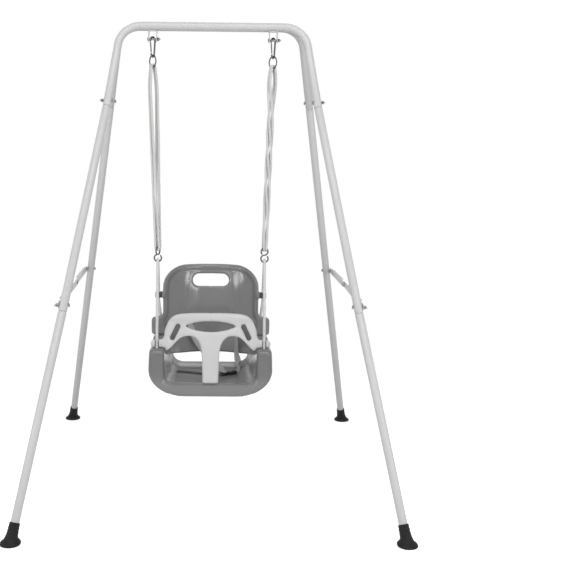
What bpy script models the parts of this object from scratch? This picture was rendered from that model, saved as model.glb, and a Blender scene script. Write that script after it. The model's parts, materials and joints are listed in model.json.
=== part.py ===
# Toddler swing on its own folding tube stand.
# Metres, X to the right, Y to the back, Z up, origin on the floor under the middle of the stand.
import math

import bmesh
import bpy
from mathutils import Matrix, Vector

# Clearance that touching pieces keep
CLEAR = 0.0003

# Stand: two bent top frames, one behind the other, on four splayed legs
BAR_HEIGHT = 1.280
TUBE_RADIUS = 0.011
TUBE_WALL = 0.0012
TUBE_SIDES = 12
BEND_RADIUS = 0.065
BEND_STEPS = 7
FRONT_BAR_Y = -0.0125
REAR_BAR_Y = 0.013
UPPER_SEAM = BAR_HEIGHT - 0.2225
REAR_SEAM = BAR_HEIGHT - 0.2165
LOWER_SEAM = 0.532
FRONT_TOP_HALF = 0.253
FRONT_UPPER_HALF = 0.2857
FRONT_LOWER_HALF = 0.3795
FRONT_FOOT_HALF = 0.480
REAR_TOP_HALF = 0.2528
REAR_FOOT_HALF = 0.4728
REAR_SHIFT = -0.0069
FOOT_REACH = 0.5325

# Splices: the lower tube's swaged neck sits in the tube above and a bolt goes through both
NECK_LENGTH = 0.045
SHOULDER_LENGTH = 0.002
SPLICE_BOLT_RISE = 0.0165
BOLT_RADIUS = 0.003
BOLT_SIDES = 8
HEAD_RADIUS = 0.0055
HEAD_HEIGHT = 0.003
NUT_RADIUS = 0.0052
NUT_HEIGHT = 0.006
WING_REACH = 0.007
BOLT_SPARE = 0.0015

# Rubber feet
FOOT_RADIUS = 0.0255
FOOT_SIDES = 16
SLEEVE_LENGTH = 0.052
SLEEVE_RADIUS = 0.0127
FOOT_FLOOR = 0.010

# Folding braces between the rear legs and the front lower splices
BRACE_REAR_HEIGHT = 0.5618
BRACE_RISE = 0.008
BRACE_INSET = 0.006
LINK_HALF_HEIGHT = 0.008
LINK_SHEET = 0.0016
LINK_FLANGE = 0.0075
LINK_TAB = 0.050
LINK_GAP = 0.0009

# Hanger brackets
HANGER_X = 0.1676
HANGER_WIDTH = 0.0238
HANGER_SHEET = 0.002
HANGER_BOLT_HEIGHT = BAR_HEIGHT - 0.0345
HANGER_TONGUE_RADIUS = 0.0085
HINGE_LUG_RADIUS = 0.0138

# Carabiners, rings and hooks
CARABINER_WIRE = 0.0025
CARABINER_HEIGHT = 0.059
CARABINER_TOP_RADIUS = 0.0098
CARABINER_BOTTOM_RADIUS = 0.0062
CARABINER_TURN = math.radians(53)
GATE_WIRE = 0.0019
RING_RADIUS = 0.0164
RING_WIRE = 0.0019
RING_TURN = math.radians(-55)
HOOK_WIRE = 0.00225
HOOK_EYE = 0.01025
HOOK_TOP = 0.6648
HOOK_X = 0.153
HOOK_TURN = {-1: math.radians(60), 1: math.radians(15)}
HOOK_GAP = math.radians(42)

# Ropes
UPPER_ROPE_RADIUS = 0.0033
UPPER_ROPE_POINTS = 15
LOWER_ROPE_RADIUS = 0.0041
STRAND_GAP = 0.0005
KNOT_RADIUS = 0.0078

# Seat base: a bench with a column at the front and back of each arm, hollow underneath
SEAT_FRONT = -0.140
SEAT_REAR = 0.110
SEAT_BOTTOM = 0.258
SEAT_HALF = 0.1732
SEAT_TOP_HALF = 0.1705
SEAT_SHOULDER = 0.334
SEAT_CORNER_WIDTH = 0.103
ARM_TOP = 0.395
ARM_INNER = 0.128
ARM_DIP = 0.011
SEAT_WALL = 0.004
SEAT_OPENING = 0.118
LIP_ROUND = 0.014
PAN_HEIGHTS = [(-0.140, 0.296), (-0.122, 0.296), (-0.10, 0.294), (0.064, 0.294), (0.092, 0.309)]
ROPE_HOLE_X = 0.150
FRONT_HOLE_Y = -0.105
REAR_HOLE_Y = 0.085

# Backrest: a curved shell with wings over the arms and a lug on each side for the rear rope
BACK_TOP = 0.600
BACK_BOTTOM = 0.334
BACK_HALF = 0.1415
BACK_LOWER_HALF = 0.1235
BACK_CORNER_WIDTH = 0.066
BACK_CORNER_HEIGHT = 0.060
BACK_SIDE_Y = 0.075
BACK_LOW_Y = 0.115
BACK_HIGH_Y = 0.150
BACK_THICKNESS = 0.010
BEND_COLUMN = 0.028
WING_HALF = 0.176
WING_TOP = 0.450
BOSS_INSET = 0.0006
LUG_HEIGHT = 0.5165
LUG_HALF_HEIGHT = 0.009
LUG_OUTER = 0.1640
LUG_X = 0.1545
LUG_Y = 0.0745
LUG_HALF_DEPTH = 0.008
LUG_ROOT = 0.008
ROPE_PLAY = 0.0005
HANDLE_HALF = 0.054
HANDLE_LOW = 0.534
HANDLE_HIGH = 0.570
STRAP_SLOT_X = 0.068
STRAP_SLOT_Z = 0.4405
STRAP_SLOT_WIDTH = 0.0045

# Guard: a T-shaped bar threaded on the front ropes
GUARD_THICKNESS = 0.012
GUARD_BULGE = 0.030
GUARD_Y = -0.105
GUARD_LEAN = 0.010
EAR_TOP = 0.4155
EAR_DEPTH = 0.026
EAR_HOLE_PLAY = 0.0022
OVAL_HALF = 0.069
OVAL_Z = 0.4605
OVAL_RISE = 0.014
OVAL_BLUNT = 0.001

# Harness
STRAP_WIDTH = 0.020
STRAP_THICKNESS = 0.0014
LAP_WIDTH = 0.018
BUCKLE_CENTRE = Vector((0.060, 0.0, 0.0))
BUCKLE_TURN = math.radians(30)
SOCKET_LENGTH = 0.030
PLUG_LENGTH = 0.016
BUCKLE_WIDTH = 0.024
BUCKLE_HEIGHT = 0.009

X_AXIS = Vector((1.0, 0.0, 0.0))
Y_AXIS = Vector((0.0, 1.0, 0.0))
Z_AXIS = Vector((0.0, 0.0, 1.0))
ORIGIN = Vector((0.0, 0.0, 0.0))
SIDES = {"left": -1, "right": 1}
POLYGON_REACH = 1.0 / math.cos(math.pi / BOLT_SIDES)

FRONT = {
    "name": "front",
    "bar_y": FRONT_BAR_Y,
    "foot_y": -FOOT_REACH,
    "shift": 0.0,
    "seam": UPPER_SEAM,
    "halves": [
        (BAR_HEIGHT, FRONT_TOP_HALF),
        (UPPER_SEAM, FRONT_UPPER_HALF),
        (LOWER_SEAM, FRONT_LOWER_HALF),
        (0.0, FRONT_FOOT_HALF),
    ],
}
REAR = {
    "name": "rear",
    "bar_y": REAR_BAR_Y,
    "foot_y": FOOT_REACH,
    "shift": REAR_SHIFT,
    "seam": REAR_SEAM,
    "halves": [(BAR_HEIGHT, REAR_TOP_HALF), (0.0, REAR_FOOT_HALF)],
}


# Materials
def paint(name, colour, roughness, metallic=0.0):
    material = bpy.data.materials.new(name)
    material.use_nodes = True
    shader = material.node_tree.nodes["Principled BSDF"]
    shader.inputs["Base Color"].default_value = (*colour, 1.0)
    shader.inputs["Roughness"].default_value = roughness
    shader.inputs["Metallic"].default_value = metallic
    return material


def make_paints():
    return {
        "powder_coat": paint("powder_coat", (0.70, 0.70, 0.71), 0.45),
        "zinc": paint("zinc", (0.55, 0.55, 0.56), 0.35, 1.0),
        "steel": paint("steel", (0.45, 0.45, 0.46), 0.25, 1.0),
        "black_rubber": paint("black_rubber", (0.012, 0.012, 0.013), 0.6),
        "grey_plastic": paint("grey_plastic", (0.17, 0.17, 0.17), 0.22),
        "white_plastic": paint("white_plastic", (0.72, 0.72, 0.72), 0.45),
        "rope": paint("rope", (0.62, 0.61, 0.59), 0.9),
        "webbing": paint("webbing", (0.45, 0.45, 0.45), 0.85),
        "black_plastic": paint("black_plastic", (0.015, 0.015, 0.015), 0.4),
    }


# Building blocks
def loft(rings, closed=False):
    """Skin between rings of equal counts, capped at both ends or joined into a ring."""
    bm = bmesh.new()
    rows = [[bm.verts.new(point) for point in ring] for ring in rings]
    pairs = list(zip(rows, rows[1:]))
    if closed:
        pairs.append((rows[-1], rows[0]))
    count = len(rows[0])
    for lower, upper in pairs:
        for i in range(count):
            j = (i + 1) % count
            bm.faces.new((lower[i], lower[j], upper[j], upper[i]))
    if not closed:
        bm.faces.new(rows[0][::-1])
        bm.faces.new(rows[-1])
    bm.normal_update()
    bmesh.ops.recalc_face_normals(bm, faces=bm.faces)
    return bm


def rings_along(points, radii, sides, hint):
    """Circles square to a path, turned as little as possible from one to the next."""
    rings = []
    last = len(points) - 1
    for i, point in enumerate(points):
        ahead = (points[min(i + 1, last)] - point).normalized()
        behind = (point - points[max(i - 1, 0)]).normalized()
        tangent = (ahead + behind).normalized()
        hint = (hint - tangent * hint.dot(tangent)).normalized()
        third = tangent.cross(hint)
        angles = [2 * math.pi * k / sides for k in range(sides)]
        rings.append([point + (hint * math.cos(a) + third * math.sin(a)) * radii[i] for a in angles])
    return rings


def turned(start, axis, profile, sides=BOLT_SIDES, hint=Z_AXIS):
    """Solid of revolution from (distance, radius) steps along an axis."""
    centres = [start + axis * distance for distance, _ in profile]
    rings = []
    side = (hint - axis * hint.dot(axis)).normalized()
    third = axis.cross(side)
    for centre, (_, radius) in zip(centres, profile):
        angles = [2 * math.pi * k / sides for k in range(sides)]
        rings.append([centre + (side * math.cos(a) + third * math.sin(a)) * radius for a in angles])
    return loft(rings)


def rod(start, end, radius, sides=BOLT_SIDES, hint=Z_AXIS):
    axis = (end - start).normalized()
    return turned(start, axis, [(0.0, radius), ((end - start).length, radius)], sides, hint)


def tube_shell(points, outer, inner, hint=Y_AXIS):
    """Hollow tube, open at both ends."""
    skin = rings_along(points, outer, TUBE_SIDES, hint)
    bore = rings_along(points, inner, TUBE_SIDES, hint)
    return loft(skin + bore[::-1], closed=True)


def prism(outline, depth_axis, start, end):
    """Outline of 3-D points in a plane, pushed from start to end along an axis."""
    return loft([[p + depth_axis * start for p in outline], [p + depth_axis * end for p in outline]])


def block(centre, size, frame=Matrix.Identity(3)):
    half = Vector(size) / 2
    corners = [(-1, -1), (1, -1), (1, 1), (-1, 1)]
    outline = [centre + frame @ Vector((sx * half.x, sy * half.y, 0.0)) for sx, sy in corners]
    return prism(outline, frame @ Z_AXIS, -half.z, half.z)


def rounded_corner(before, corner, after, radius, steps):
    """Arc that replaces a corner of a path."""
    back = (before - corner).normalized()
    onward = (after - corner).normalized()
    turn = math.pi - back.angle(onward)
    reach = radius * math.tan(turn / 2)
    start = corner + back * reach
    end = corner + onward * reach
    centre = corner + (back + onward).normalized() * radius / math.cos(turn / 2)
    axis = (start - centre).cross(end - centre).normalized()
    spoke = start - centre
    return [centre + Matrix.Rotation(turn * k / steps, 3, axis) @ spoke for k in range(steps + 1)]


def arc_points(centre, first, second, radius, start, end, steps):
    """Points on a circle spanned by two directions, angles in degrees."""
    angles = [math.radians(start + (end - start) * k / steps) for k in range(steps + 1)]
    return [centre + (first * math.cos(a) + second * math.sin(a)) * radius for a in angles]


def divided(points, spacing):
    """Path with long straight runs divided into equal steps."""
    result = [points[0]]
    for start, end in zip(points, points[1:]):
        steps = max(1, round((end - start).length / spacing))
        result += [start.lerp(end, k / steps) for k in range(1, steps + 1)]
    return result


def add_mesh(name, bm, material, pivot=ORIGIN, smooth_angle=math.radians(35)):
    bmesh.ops.translate(bm, vec=-pivot, verts=bm.verts)
    mesh = bpy.data.meshes.new(name)
    bm.to_mesh(mesh)
    bm.free()
    mesh.shade_smooth()
    mesh.set_sharp_from_angle(angle=smooth_angle)
    mesh.materials.append(material)
    piece = bpy.data.objects.new(name, mesh)
    piece.location = pivot
    bpy.context.scene.collection.objects.link(piece)
    return piece


def combine(piece, bm, operation="DIFFERENCE"):
    """Boolean of a piece with a hidden tool."""
    index = len(piece.modifiers)
    bmesh.ops.triangulate(bm, faces=bm.faces)
    mesh = bpy.data.meshes.new(f"{piece.name}_tool_{index}")
    bm.to_mesh(mesh)
    bm.free()
    tool = bpy.data.objects.new(mesh.name, mesh)
    tool.hide_render = True
    tool.display_type = "WIRE"
    bpy.context.scene.collection.objects.link(tool)
    step = piece.modifiers.new(operation.lower(), "BOOLEAN")
    step.operation = operation
    step.object = tool


def add_wire(name, points, radius, material, cyclic=False, resolution=2, swell=None, pivot=ORIGIN):
    """Round wire or rope on a curve, with filled ends and an optional radius factor per point."""
    curve = bpy.data.curves.new(name, "CURVE")
    curve.dimensions = "3D"
    curve.bevel_depth = radius
    curve.bevel_resolution = resolution
    curve.render_resolution_u = 0
    curve.use_fill_caps = True
    spline = curve.splines.new("POLY")
    spline.points.add(len(points) - 1)
    for i, point in enumerate(points):
        spline.points[i].co = (*(point - pivot), 1.0)
        spline.points[i].radius = swell[i] if swell else 1.0
    spline.use_cyclic_u = cyclic
    curve.materials.append(material)
    piece = bpy.data.objects.new(name, curve)
    piece.location = pivot
    bpy.context.scene.collection.objects.link(piece)
    return piece


def lookup(table, key):
    """Value read between the rows of a (key, value) table."""
    rows = sorted(table)
    if key <= rows[0][0]:
        return rows[0][1]
    for (key_a, value_a), (key_b, value_b) in zip(rows, rows[1:]):
        if key <= key_b:
            return value_a + (value_b - value_a) * (key - key_a) / (key_b - key_a)
    return rows[-1][1]


def eased(t):
    t = min(1.0, max(0.0, t))
    return t * t * (3 - 2 * t)


# Stand tubes
def leg_point(frame, side, height):
    drop = 1 - height / BAR_HEIGHT
    y = frame["bar_y"] + (frame["foot_y"] - frame["bar_y"]) * drop
    return Vector((frame["shift"] + side * lookup(frame["halves"], height), y, height))


def leg_way(frame, side, high, low):
    """Direction up the leg between two heights."""
    return (leg_point(frame, side, high) - leg_point(frame, side, low)).normalized()


def neck_radius():
    """Swaged neck that fits the bore of the tube above."""
    return TUBE_RADIUS * math.cos(math.pi / TUBE_SIDES) - TUBE_WALL - CLEAR


def bore_of(radius):
    return radius - TUBE_WALL


def make_top_frame(frame, paints):
    corners = {side: leg_point(frame, side, BAR_HEIGHT) for side in (-1, 1)}
    ends = {side: leg_point(frame, side, frame["seam"]) for side in (-1, 1)}
    left_bend = rounded_corner(ends[-1], corners[-1], corners[1], BEND_RADIUS, BEND_STEPS)
    right_bend = rounded_corner(corners[-1], corners[1], ends[1], BEND_RADIUS, BEND_STEPS)
    path = [ends[-1]] + left_bend + right_bend + [ends[1]]
    outer = [TUBE_RADIUS] * len(path)
    inner = [bore_of(TUBE_RADIUS)] * len(path)
    pivot = Vector((frame["shift"], frame["bar_y"], BAR_HEIGHT))
    piece = add_mesh(f"{frame['name']}_top_frame", tube_shell(path, outer, inner), paints["powder_coat"], pivot)
    for side in (-1, 1):
        bolt = splice_bolt_point(frame, side, frame["seam"], BAR_HEIGHT)
        cut_bolt_hole(piece, bolt, pivot)
    return piece


def splice_bolt_point(frame, side, seam, above):
    way = leg_way(frame, side, above, seam)
    return leg_point(frame, side, seam) + way * SPLICE_BOLT_RISE


def cut_bolt_hole(piece, centre, pivot=ORIGIN):
    """Hole for a bolt along X; the tool is in the piece's own place."""
    reach = 2 * TUBE_RADIUS
    hole = (BOLT_RADIUS + CLEAR) * POLYGON_REACH
    combine(piece, rod(centre - X_AXIS * reach, centre + X_AXIS * reach, hole))


def make_leg(name, frame, side, top, bottom, above, paints, foot=False):
    """Leg tube with a swaged neck at its top; the neck follows the tube above."""
    seam = leg_point(frame, side, top)
    neck_way = leg_way(frame, side, above, top)
    way = leg_way(frame, side, top, bottom)
    low_end = leg_point(frame, side, bottom)
    if foot:
        low_end = low_end + way * (FOOT_FLOOR + CLEAR)
    neck = neck_radius()
    shoulder = seam - way * CLEAR
    path = [
        seam + neck_way * NECK_LENGTH,
        shoulder,
        shoulder - way * SHOULDER_LENGTH,
        low_end,
    ]
    outer = [neck, neck, TUBE_RADIUS, TUBE_RADIUS]
    inner = [bore_of(radius) for radius in outer]
    piece = add_mesh(name, tube_shell(path, outer, inner), paints["powder_coat"])
    cut_bolt_hole(piece, splice_bolt_point(frame, side, top, above))
    return piece


def make_foot(name, frame, side, paints):
    """Rubber boot: a flat disc on the floor and a sleeve that leans with the leg."""
    ground = leg_point(frame, side, 0.0)
    way = leg_way(frame, side, frame["seam"] if frame is REAR else LOWER_SEAM, 0.0)
    bore = (TUBE_RADIUS + CLEAR) / math.cos(math.pi / FOOT_SIDES)
    disc = [(0.0, 0.92), (0.0015, 1.0), (0.0045, 1.0), (0.008, 0.90), (0.0125, 0.66)]
    rings = []
    for height, share in disc:
        centre = ground + way * height
        centre.z = height
        rings.append(level_ring(centre, Z_AXIS, FOOT_RADIUS * share))
    flare = SLEEVE_RADIUS * 1.1
    sleeve = [(0.026, flare), (SLEEVE_LENGTH, SLEEVE_RADIUS), (SLEEVE_LENGTH, bore), (FOOT_FLOOR, bore)]
    for distance, radius in sleeve:
        rings.append(level_ring(ground + way * distance, way, radius))
    return add_mesh(name, loft(rings), paints["black_rubber"])


def level_ring(centre, axis, radius):
    hint = (Y_AXIS - axis * Y_AXIS.dot(axis)).normalized()
    third = axis.cross(hint)
    angles = [2 * math.pi * k / FOOT_SIDES for k in range(FOOT_SIDES)]
    return [centre + (hint * math.cos(a) + third * math.sin(a)) * radius for a in angles]


# Fasteners
def make_bolt(name, seat, axis, length, paints, pivot=None):
    """Domed head at the seat, shank along the axis."""
    profile = [
        (-HEAD_HEIGHT, HEAD_RADIUS * 0.55),
        (-HEAD_HEIGHT * 0.45, HEAD_RADIUS),
        (0.0, HEAD_RADIUS),
        (0.0, BOLT_RADIUS),
        (length - 0.0006, BOLT_RADIUS),
        (length, BOLT_RADIUS * 0.75),
    ]
    return add_mesh(name, turned(seat, axis, profile), paints["zinc"], pivot or seat)


def make_wing_nut(name, seat, axis, wing, paints, closed=False, stud=0.0, pivot=None):
    """Hub with two wings; a closed one is capped and carries its own stud."""
    third = axis.cross(wing)
    half_face = math.pi / BOLT_SIDES
    hint = wing * math.cos(half_face) - third * math.sin(half_face)
    bore = (BOLT_RADIUS + CLEAR) * POLYGON_REACH
    hub = [(0.0, NUT_RADIUS), (NUT_HEIGHT, NUT_RADIUS * 0.86)]
    if closed:
        bm = turned(seat, axis, [(-stud, BOLT_RADIUS), (0.0, BOLT_RADIUS)] + hub, hint=hint)
    else:
        sections = hub + [(NUT_HEIGHT, bore), (0.0, bore)]
        rings = []
        for distance, radius in sections:
            angles = [2 * math.pi * k / BOLT_SIDES for k in range(BOLT_SIDES)]
            side = axis.cross(hint)
            centre = seat + axis * distance
            rings.append([centre + (hint * math.cos(a) + side * math.sin(a)) * radius for a in angles])
        bm = loft(rings, closed=True)
    for sign in (-1, 1):
        grow_wing(bm, wing * sign, axis, third)
    bmesh.ops.recalc_face_normals(bm, faces=bm.faces)
    return add_mesh(name, bm, paints["zinc"], pivot or seat)


def grow_wing(bm, way, axis, third):
    bm.normal_update()
    outer = [f for f in bm.faces if f.normal.dot(way) > 0.9 and abs(f.normal.dot(axis)) < 0.3]
    face = max(outer, key=lambda f: f.calc_center_median().dot(way))
    for reach, lift, thickness in ((0.5, 0.35, 0.45), (0.5, 0.30, 0.8)):
        face = bmesh.ops.extrude_discrete_faces(bm, faces=[face])["faces"][0]
        middle = face.calc_center_median()
        for vert in face.verts:
            offset = vert.co - middle
            across = offset.dot(third)
            vert.co += third * across * (thickness - 1)
            vert.co += way * WING_REACH * reach + axis * NUT_HEIGHT * lift


def tube_side_reach(frame, side, high, low):
    """Distance along X from a leg's axis to its skin."""
    way = leg_way(frame, side, high, low)
    return TUBE_RADIUS / math.sqrt(1 - way.x * way.x)


def add_splice_fasteners(tag, frame, side, seam, above, paints, washer=0.0):
    """Bolt from the inner side, wing nut on the outer side."""
    centre = splice_bolt_point(frame, side, seam, above)
    outward = X_AXIS * side
    reach = tube_side_reach(frame, side, above, seam) + HEAD_RADIUS * abs(leg_way(frame, side, above, seam).x)
    head = centre - outward * (reach + CLEAR)
    nut = centre + outward * (reach + CLEAR + washer)
    length = (nut - head).length + NUT_HEIGHT + BOLT_SPARE
    make_bolt(f"{tag}_bolt", head, outward, length, paints)
    make_wing_nut(f"{tag}_wing_nut", nut, outward, Y_AXIS, paints)


# Braces
def brace_front_point(side):
    return splice_bolt_point(FRONT, side, LOWER_SEAM, UPPER_SEAM)


def brace_rear_point(side):
    return leg_point(REAR, side, BRACE_REAR_HEIGHT)


def brace_middle(side):
    """Middle pivot in the YZ plane, a little above the straight line."""
    front = brace_front_point(side)
    rear = brace_rear_point(side)
    run = Vector((0.0, rear.y - front.y, rear.z - front.z))
    normal = Vector((0.0, -run.z, run.y)).normalized()
    middle = (front + rear) / 2 + normal * BRACE_RISE
    middle.x = 0.0
    return middle


def tab_face(frame, side, centre, high, low):
    """Inner face of a link's tab beside a round, leaning leg."""
    way = leg_way(frame, side, high, low)
    lean = abs(way.x) * LINK_HALF_HEIGHT
    return abs(centre.x) + tube_side_reach(frame, side, high, low) + lean + CLEAR


def link_faces(side):
    """Distances from the middle plane to the inner faces of the link tabs."""
    front_end = tab_face(FRONT, side, brace_front_point(side), UPPER_SEAM, LOWER_SEAM)
    rear_end = tab_face(REAR, side, brace_rear_point(side), REAR_SEAM, 0.0)
    front_middle = front_end - BRACE_INSET
    step = LINK_SHEET + LINK_GAP
    rear_middle = front_middle + step if side < 0 else front_middle - step
    return {"front": (front_end, front_middle), "rear": (rear_end, rear_middle)}


def make_link(name, side, start, end, faces, paints, pivot):
    """Channel link: round flat tabs at both ends, flanges outward between them."""
    run = Vector((0.0, end.y - start.y, end.z - start.z))
    length = run.length
    along = run / length
    up = Vector((0.0, -along.z, along.y))
    outward = X_AXIS * side
    slant = along + outward * (faces[1] - faces[0]) / length
    base = Vector((side * faces[0], start.y, start.z))

    def to_place(bm):
        for vert in bm.verts:
            vert.co = base + slant * vert.co.x + up * vert.co.y + outward * vert.co.z
        bm.normal_update()
        bmesh.ops.recalc_face_normals(bm, faces=bm.faces)
        return bm

    tip = arc_points(Vector((length, 0, 0)), X_AXIS, Y_AXIS, LINK_HALF_HEIGHT, -90, 90, 6)
    tail = arc_points(ORIGIN, X_AXIS, Y_AXIS, LINK_HALF_HEIGHT, 90, 270, 6)
    web = to_place(prism(tip + tail, Z_AXIS, 0.0, LINK_SHEET))
    piece = add_mesh(name, web, paints["powder_coat"], pivot)
    middle = length / 2
    run_length = length - 2 * LINK_TAB
    for sign in (-1, 1):
        centre = Vector((middle, sign * (LINK_HALF_HEIGHT - LINK_SHEET / 2 - 0.0002), LINK_FLANGE / 2 + 0.0002))
        flange = block(centre, (run_length, LINK_SHEET, LINK_FLANGE))
        combine(piece, to_place(flange), "UNION")
    hole = (BOLT_RADIUS + CLEAR) * POLYGON_REACH
    for place in (0.0, length):
        drill = rod(Vector((place, 0, -0.003)), Vector((place, 0, LINK_SHEET + 0.003)), hole, hint=X_AXIS)
        combine(piece, to_place(drill))
    return piece


def make_brace(word, side, paints):
    front = brace_front_point(side)
    rear = brace_rear_point(side)
    middle = brace_middle(side)
    faces = link_faces(side)
    front_pivot = Vector((side * faces["front"][0], front.y, front.z))
    middle_pivot = Vector((side * faces["front"][1], middle.y, middle.z))
    make_link(f"front_brace_link_{word}", side, front, middle, faces["front"], paints, front_pivot)
    rear_faces = (faces["rear"][1], faces["rear"][0])
    make_link(f"rear_brace_link_{word}", side, middle, rear, rear_faces, paints, middle_pivot)
    inner = min(faces["front"][1], faces["rear"][1]) - CLEAR
    outer = max(faces["front"][1], faces["rear"][1]) + LINK_SHEET + CLEAR
    rivet = [
        (-HEAD_HEIGHT * 0.7, HEAD_RADIUS * 0.6),
        (-HEAD_HEIGHT * 0.3, HEAD_RADIUS * 0.95),
        (0.0, HEAD_RADIUS * 0.95),
        (0.0, BOLT_RADIUS),
        (outer - inner, BOLT_RADIUS),
        (outer - inner, HEAD_RADIUS * 0.95),
        (outer - inner + HEAD_HEIGHT * 0.3, HEAD_RADIUS * 0.95),
        (outer - inner + HEAD_HEIGHT * 0.7, HEAD_RADIUS * 0.6),
    ]
    seat = Vector((side * inner, middle.y, middle.z))
    add_mesh(f"brace_pivot_{word}", turned(seat, X_AXIS * side, rivet), paints["zinc"], middle_pivot)
    outward = X_AXIS * side
    reach = tube_side_reach(REAR, side, REAR_SEAM, 0.0) + HEAD_RADIUS * abs(leg_way(REAR, side, REAR_SEAM, 0.0).x)
    head = rear - outward * (reach + CLEAR)
    tab = Vector((side * faces["rear"][0], rear.y, rear.z))
    make_bolt(f"rear_brace_bolt_{word}", head, outward, (tab - head).length - CLEAR, paints)
    nut_seat = tab + outward * (LINK_SHEET + CLEAR)
    stud = LINK_SHEET + CLEAR
    make_wing_nut(f"rear_brace_nut_{word}", nut_seat, outward, Y_AXIS, paints, True, stud, middle_pivot)


# Hanger brackets
def make_hanger(word, side, paints):
    """Two side plates under the front bar; behind it they carry the rear bar as a hinge."""
    centre_x = side * HANGER_X
    front_bar = Vector((0.0, FRONT_BAR_Y, BAR_HEIGHT))
    rear_bar = Vector((0.0, REAR_BAR_Y, BAR_HEIGHT))
    bolt = Vector((0.0, 0.0, HANGER_BOLT_HEIGHT))
    outline = arc_points(bolt, Y_AXIS, Z_AXIS, HANGER_TONGUE_RADIUS, 180, 360, 8)
    outline += arc_points(rear_bar, Y_AXIS, Z_AXIS, HINGE_LUG_RADIUS, -50, 185, 14)
    outline += arc_points(front_bar, Y_AXIS, Z_AXIS, TUBE_RADIUS + CLEAR, -15, -135, 7)
    half = HANGER_WIDTH / 2
    left_plate = prism(outline, X_AXIS, centre_x - half, centre_x - half + HANGER_SHEET)
    right_plate = prism(outline, X_AXIS, centre_x + half - HANGER_SHEET, centre_x + half)
    piece = add_mesh(f"hanger_bracket_{word}", left_plate, paints["powder_coat"])
    combine(piece, right_plate, "UNION")
    web_top = BAR_HEIGHT - TUBE_RADIUS - CLEAR
    web_centre = Vector((centre_x, FRONT_BAR_Y + 0.004, web_top - HANGER_SHEET / 2))
    web = block(web_centre, (HANGER_WIDTH - HANGER_SHEET, 0.018, HANGER_SHEET))
    combine(piece, web, "UNION")
    hinge_hole = (TUBE_RADIUS + CLEAR) / math.cos(math.pi / 20)
    reach = X_AXIS * HANGER_WIDTH
    at = X_AXIS * centre_x
    combine(piece, rod(rear_bar + at - reach, rear_bar + at + reach, hinge_hole, 20))
    bolt_hole = (BOLT_RADIUS + CLEAR) * POLYGON_REACH
    combine(piece, rod(bolt + at - reach, bolt + at + reach, bolt_hole))
    head = bolt + at - X_AXIS * (half + CLEAR)
    nut = bolt + at + X_AXIS * (half + CLEAR)
    length = (nut - head).length + NUT_HEIGHT + BOLT_SPARE
    make_bolt(f"hanger_bolt_{word}", head, X_AXIS, length, paints)
    make_wing_nut(f"hanger_wing_nut_{word}", nut, X_AXIS, Y_AXIS, paints)


# Hanging hardware
def carabiner_top():
    return HANGER_BOLT_HEIGHT + BOLT_RADIUS + CLEAR + CARABINER_WIRE


def carabiner_bottom():
    return carabiner_top() - CARABINER_HEIGHT + 2 * CARABINER_WIRE


def ring_centre():
    return carabiner_bottom() + CARABINER_WIRE + CLEAR + RING_WIRE - RING_RADIUS


def ring_bottom():
    return ring_centre() - RING_RADIUS


def flat_way(turn):
    return Vector((math.cos(turn), math.sin(turn), 0.0))


def make_carabiner(word, side, paints):
    """Pear-shaped snap hook, broad end on the hanger bolt, with a sprung gate at one side."""
    across = flat_way(CARABINER_TURN)
    top = Vector((side * HANGER_X, 0.0, carabiner_top() - CARABINER_TOP_RADIUS))
    low = Vector((side * HANGER_X, 0.0, carabiner_bottom() + CARABINER_BOTTOM_RADIUS))
    gate_top = top - across * CARABINER_TOP_RADIUS - Z_AXIS * 0.003
    gate_low = low - across * CARABINER_BOTTOM_RADIUS + Z_AXIS * 0.004
    upper = arc_points(top, across, Z_AXIS, CARABINER_TOP_RADIUS, 180, 0, 10)
    lower = arc_points(low, across, Z_AXIS, CARABINER_BOTTOM_RADIUS, 0, -180, 8)
    body = [gate_top] + upper + lower + [gate_low]
    pivot = Vector((side * HANGER_X, 0.0, HANGER_BOLT_HEIGHT))
    add_wire(f"carabiner_{word}", body, CARABINER_WIRE, paints["steel"], resolution=1, pivot=pivot)
    way = (gate_low - gate_top).normalized()
    start = gate_top + way * (CLEAR + 0.0005)
    end = gate_low - way * (CLEAR + 0.0012)
    gate = [start, start.lerp(end, 0.5), end]
    add_wire(f"carabiner_gate_{word}", gate, GATE_WIRE, paints["steel"], resolution=1, pivot=end)


def make_ring(word, side, paints):
    centre = Vector((side * HANGER_X, 0.0, ring_centre()))
    loop = arc_points(centre, flat_way(RING_TURN), Z_AXIS, RING_RADIUS, 0, 360, 20)[:-1]
    add_wire(f"ring_{word}", loop, RING_WIRE, paints["steel"], cyclic=True, resolution=1, pivot=centre)


def hook_waist():
    return HOOK_TOP - 2 * HOOK_EYE


def hook_bottom():
    return HOOK_TOP - 4 * HOOK_EYE


def make_hook(word, side, paints):
    """Closed S-hook; its lower eye faces the front and its upper eye is turned."""
    waist = Vector((side * HOOK_X, 0.0, hook_waist()))
    gap = math.degrees(HOOK_GAP)
    upper = arc_points(waist + Z_AXIS * HOOK_EYE, X_AXIS, Z_AXIS, HOOK_EYE, -450 + gap, -90, 16)
    upper = [waist + Vector((-(p - waist).x, 0.0, (p - waist).z)) for p in upper]
    lower = arc_points(waist - Z_AXIS * HOOK_EYE, X_AXIS, Z_AXIS, HOOK_EYE, 90, 450 - gap, 16)[1:]
    points = []
    for p in upper + lower:
        offset = p - waist
        share = eased((offset.z + 0.004) / 0.008)
        points.append(waist + Matrix.Rotation(HOOK_TURN[side] * share, 3, "Z") @ offset)
    add_wire(f"lower_hook_{word}", points, HOOK_WIRE, paints["steel"], resolution=1)


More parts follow.
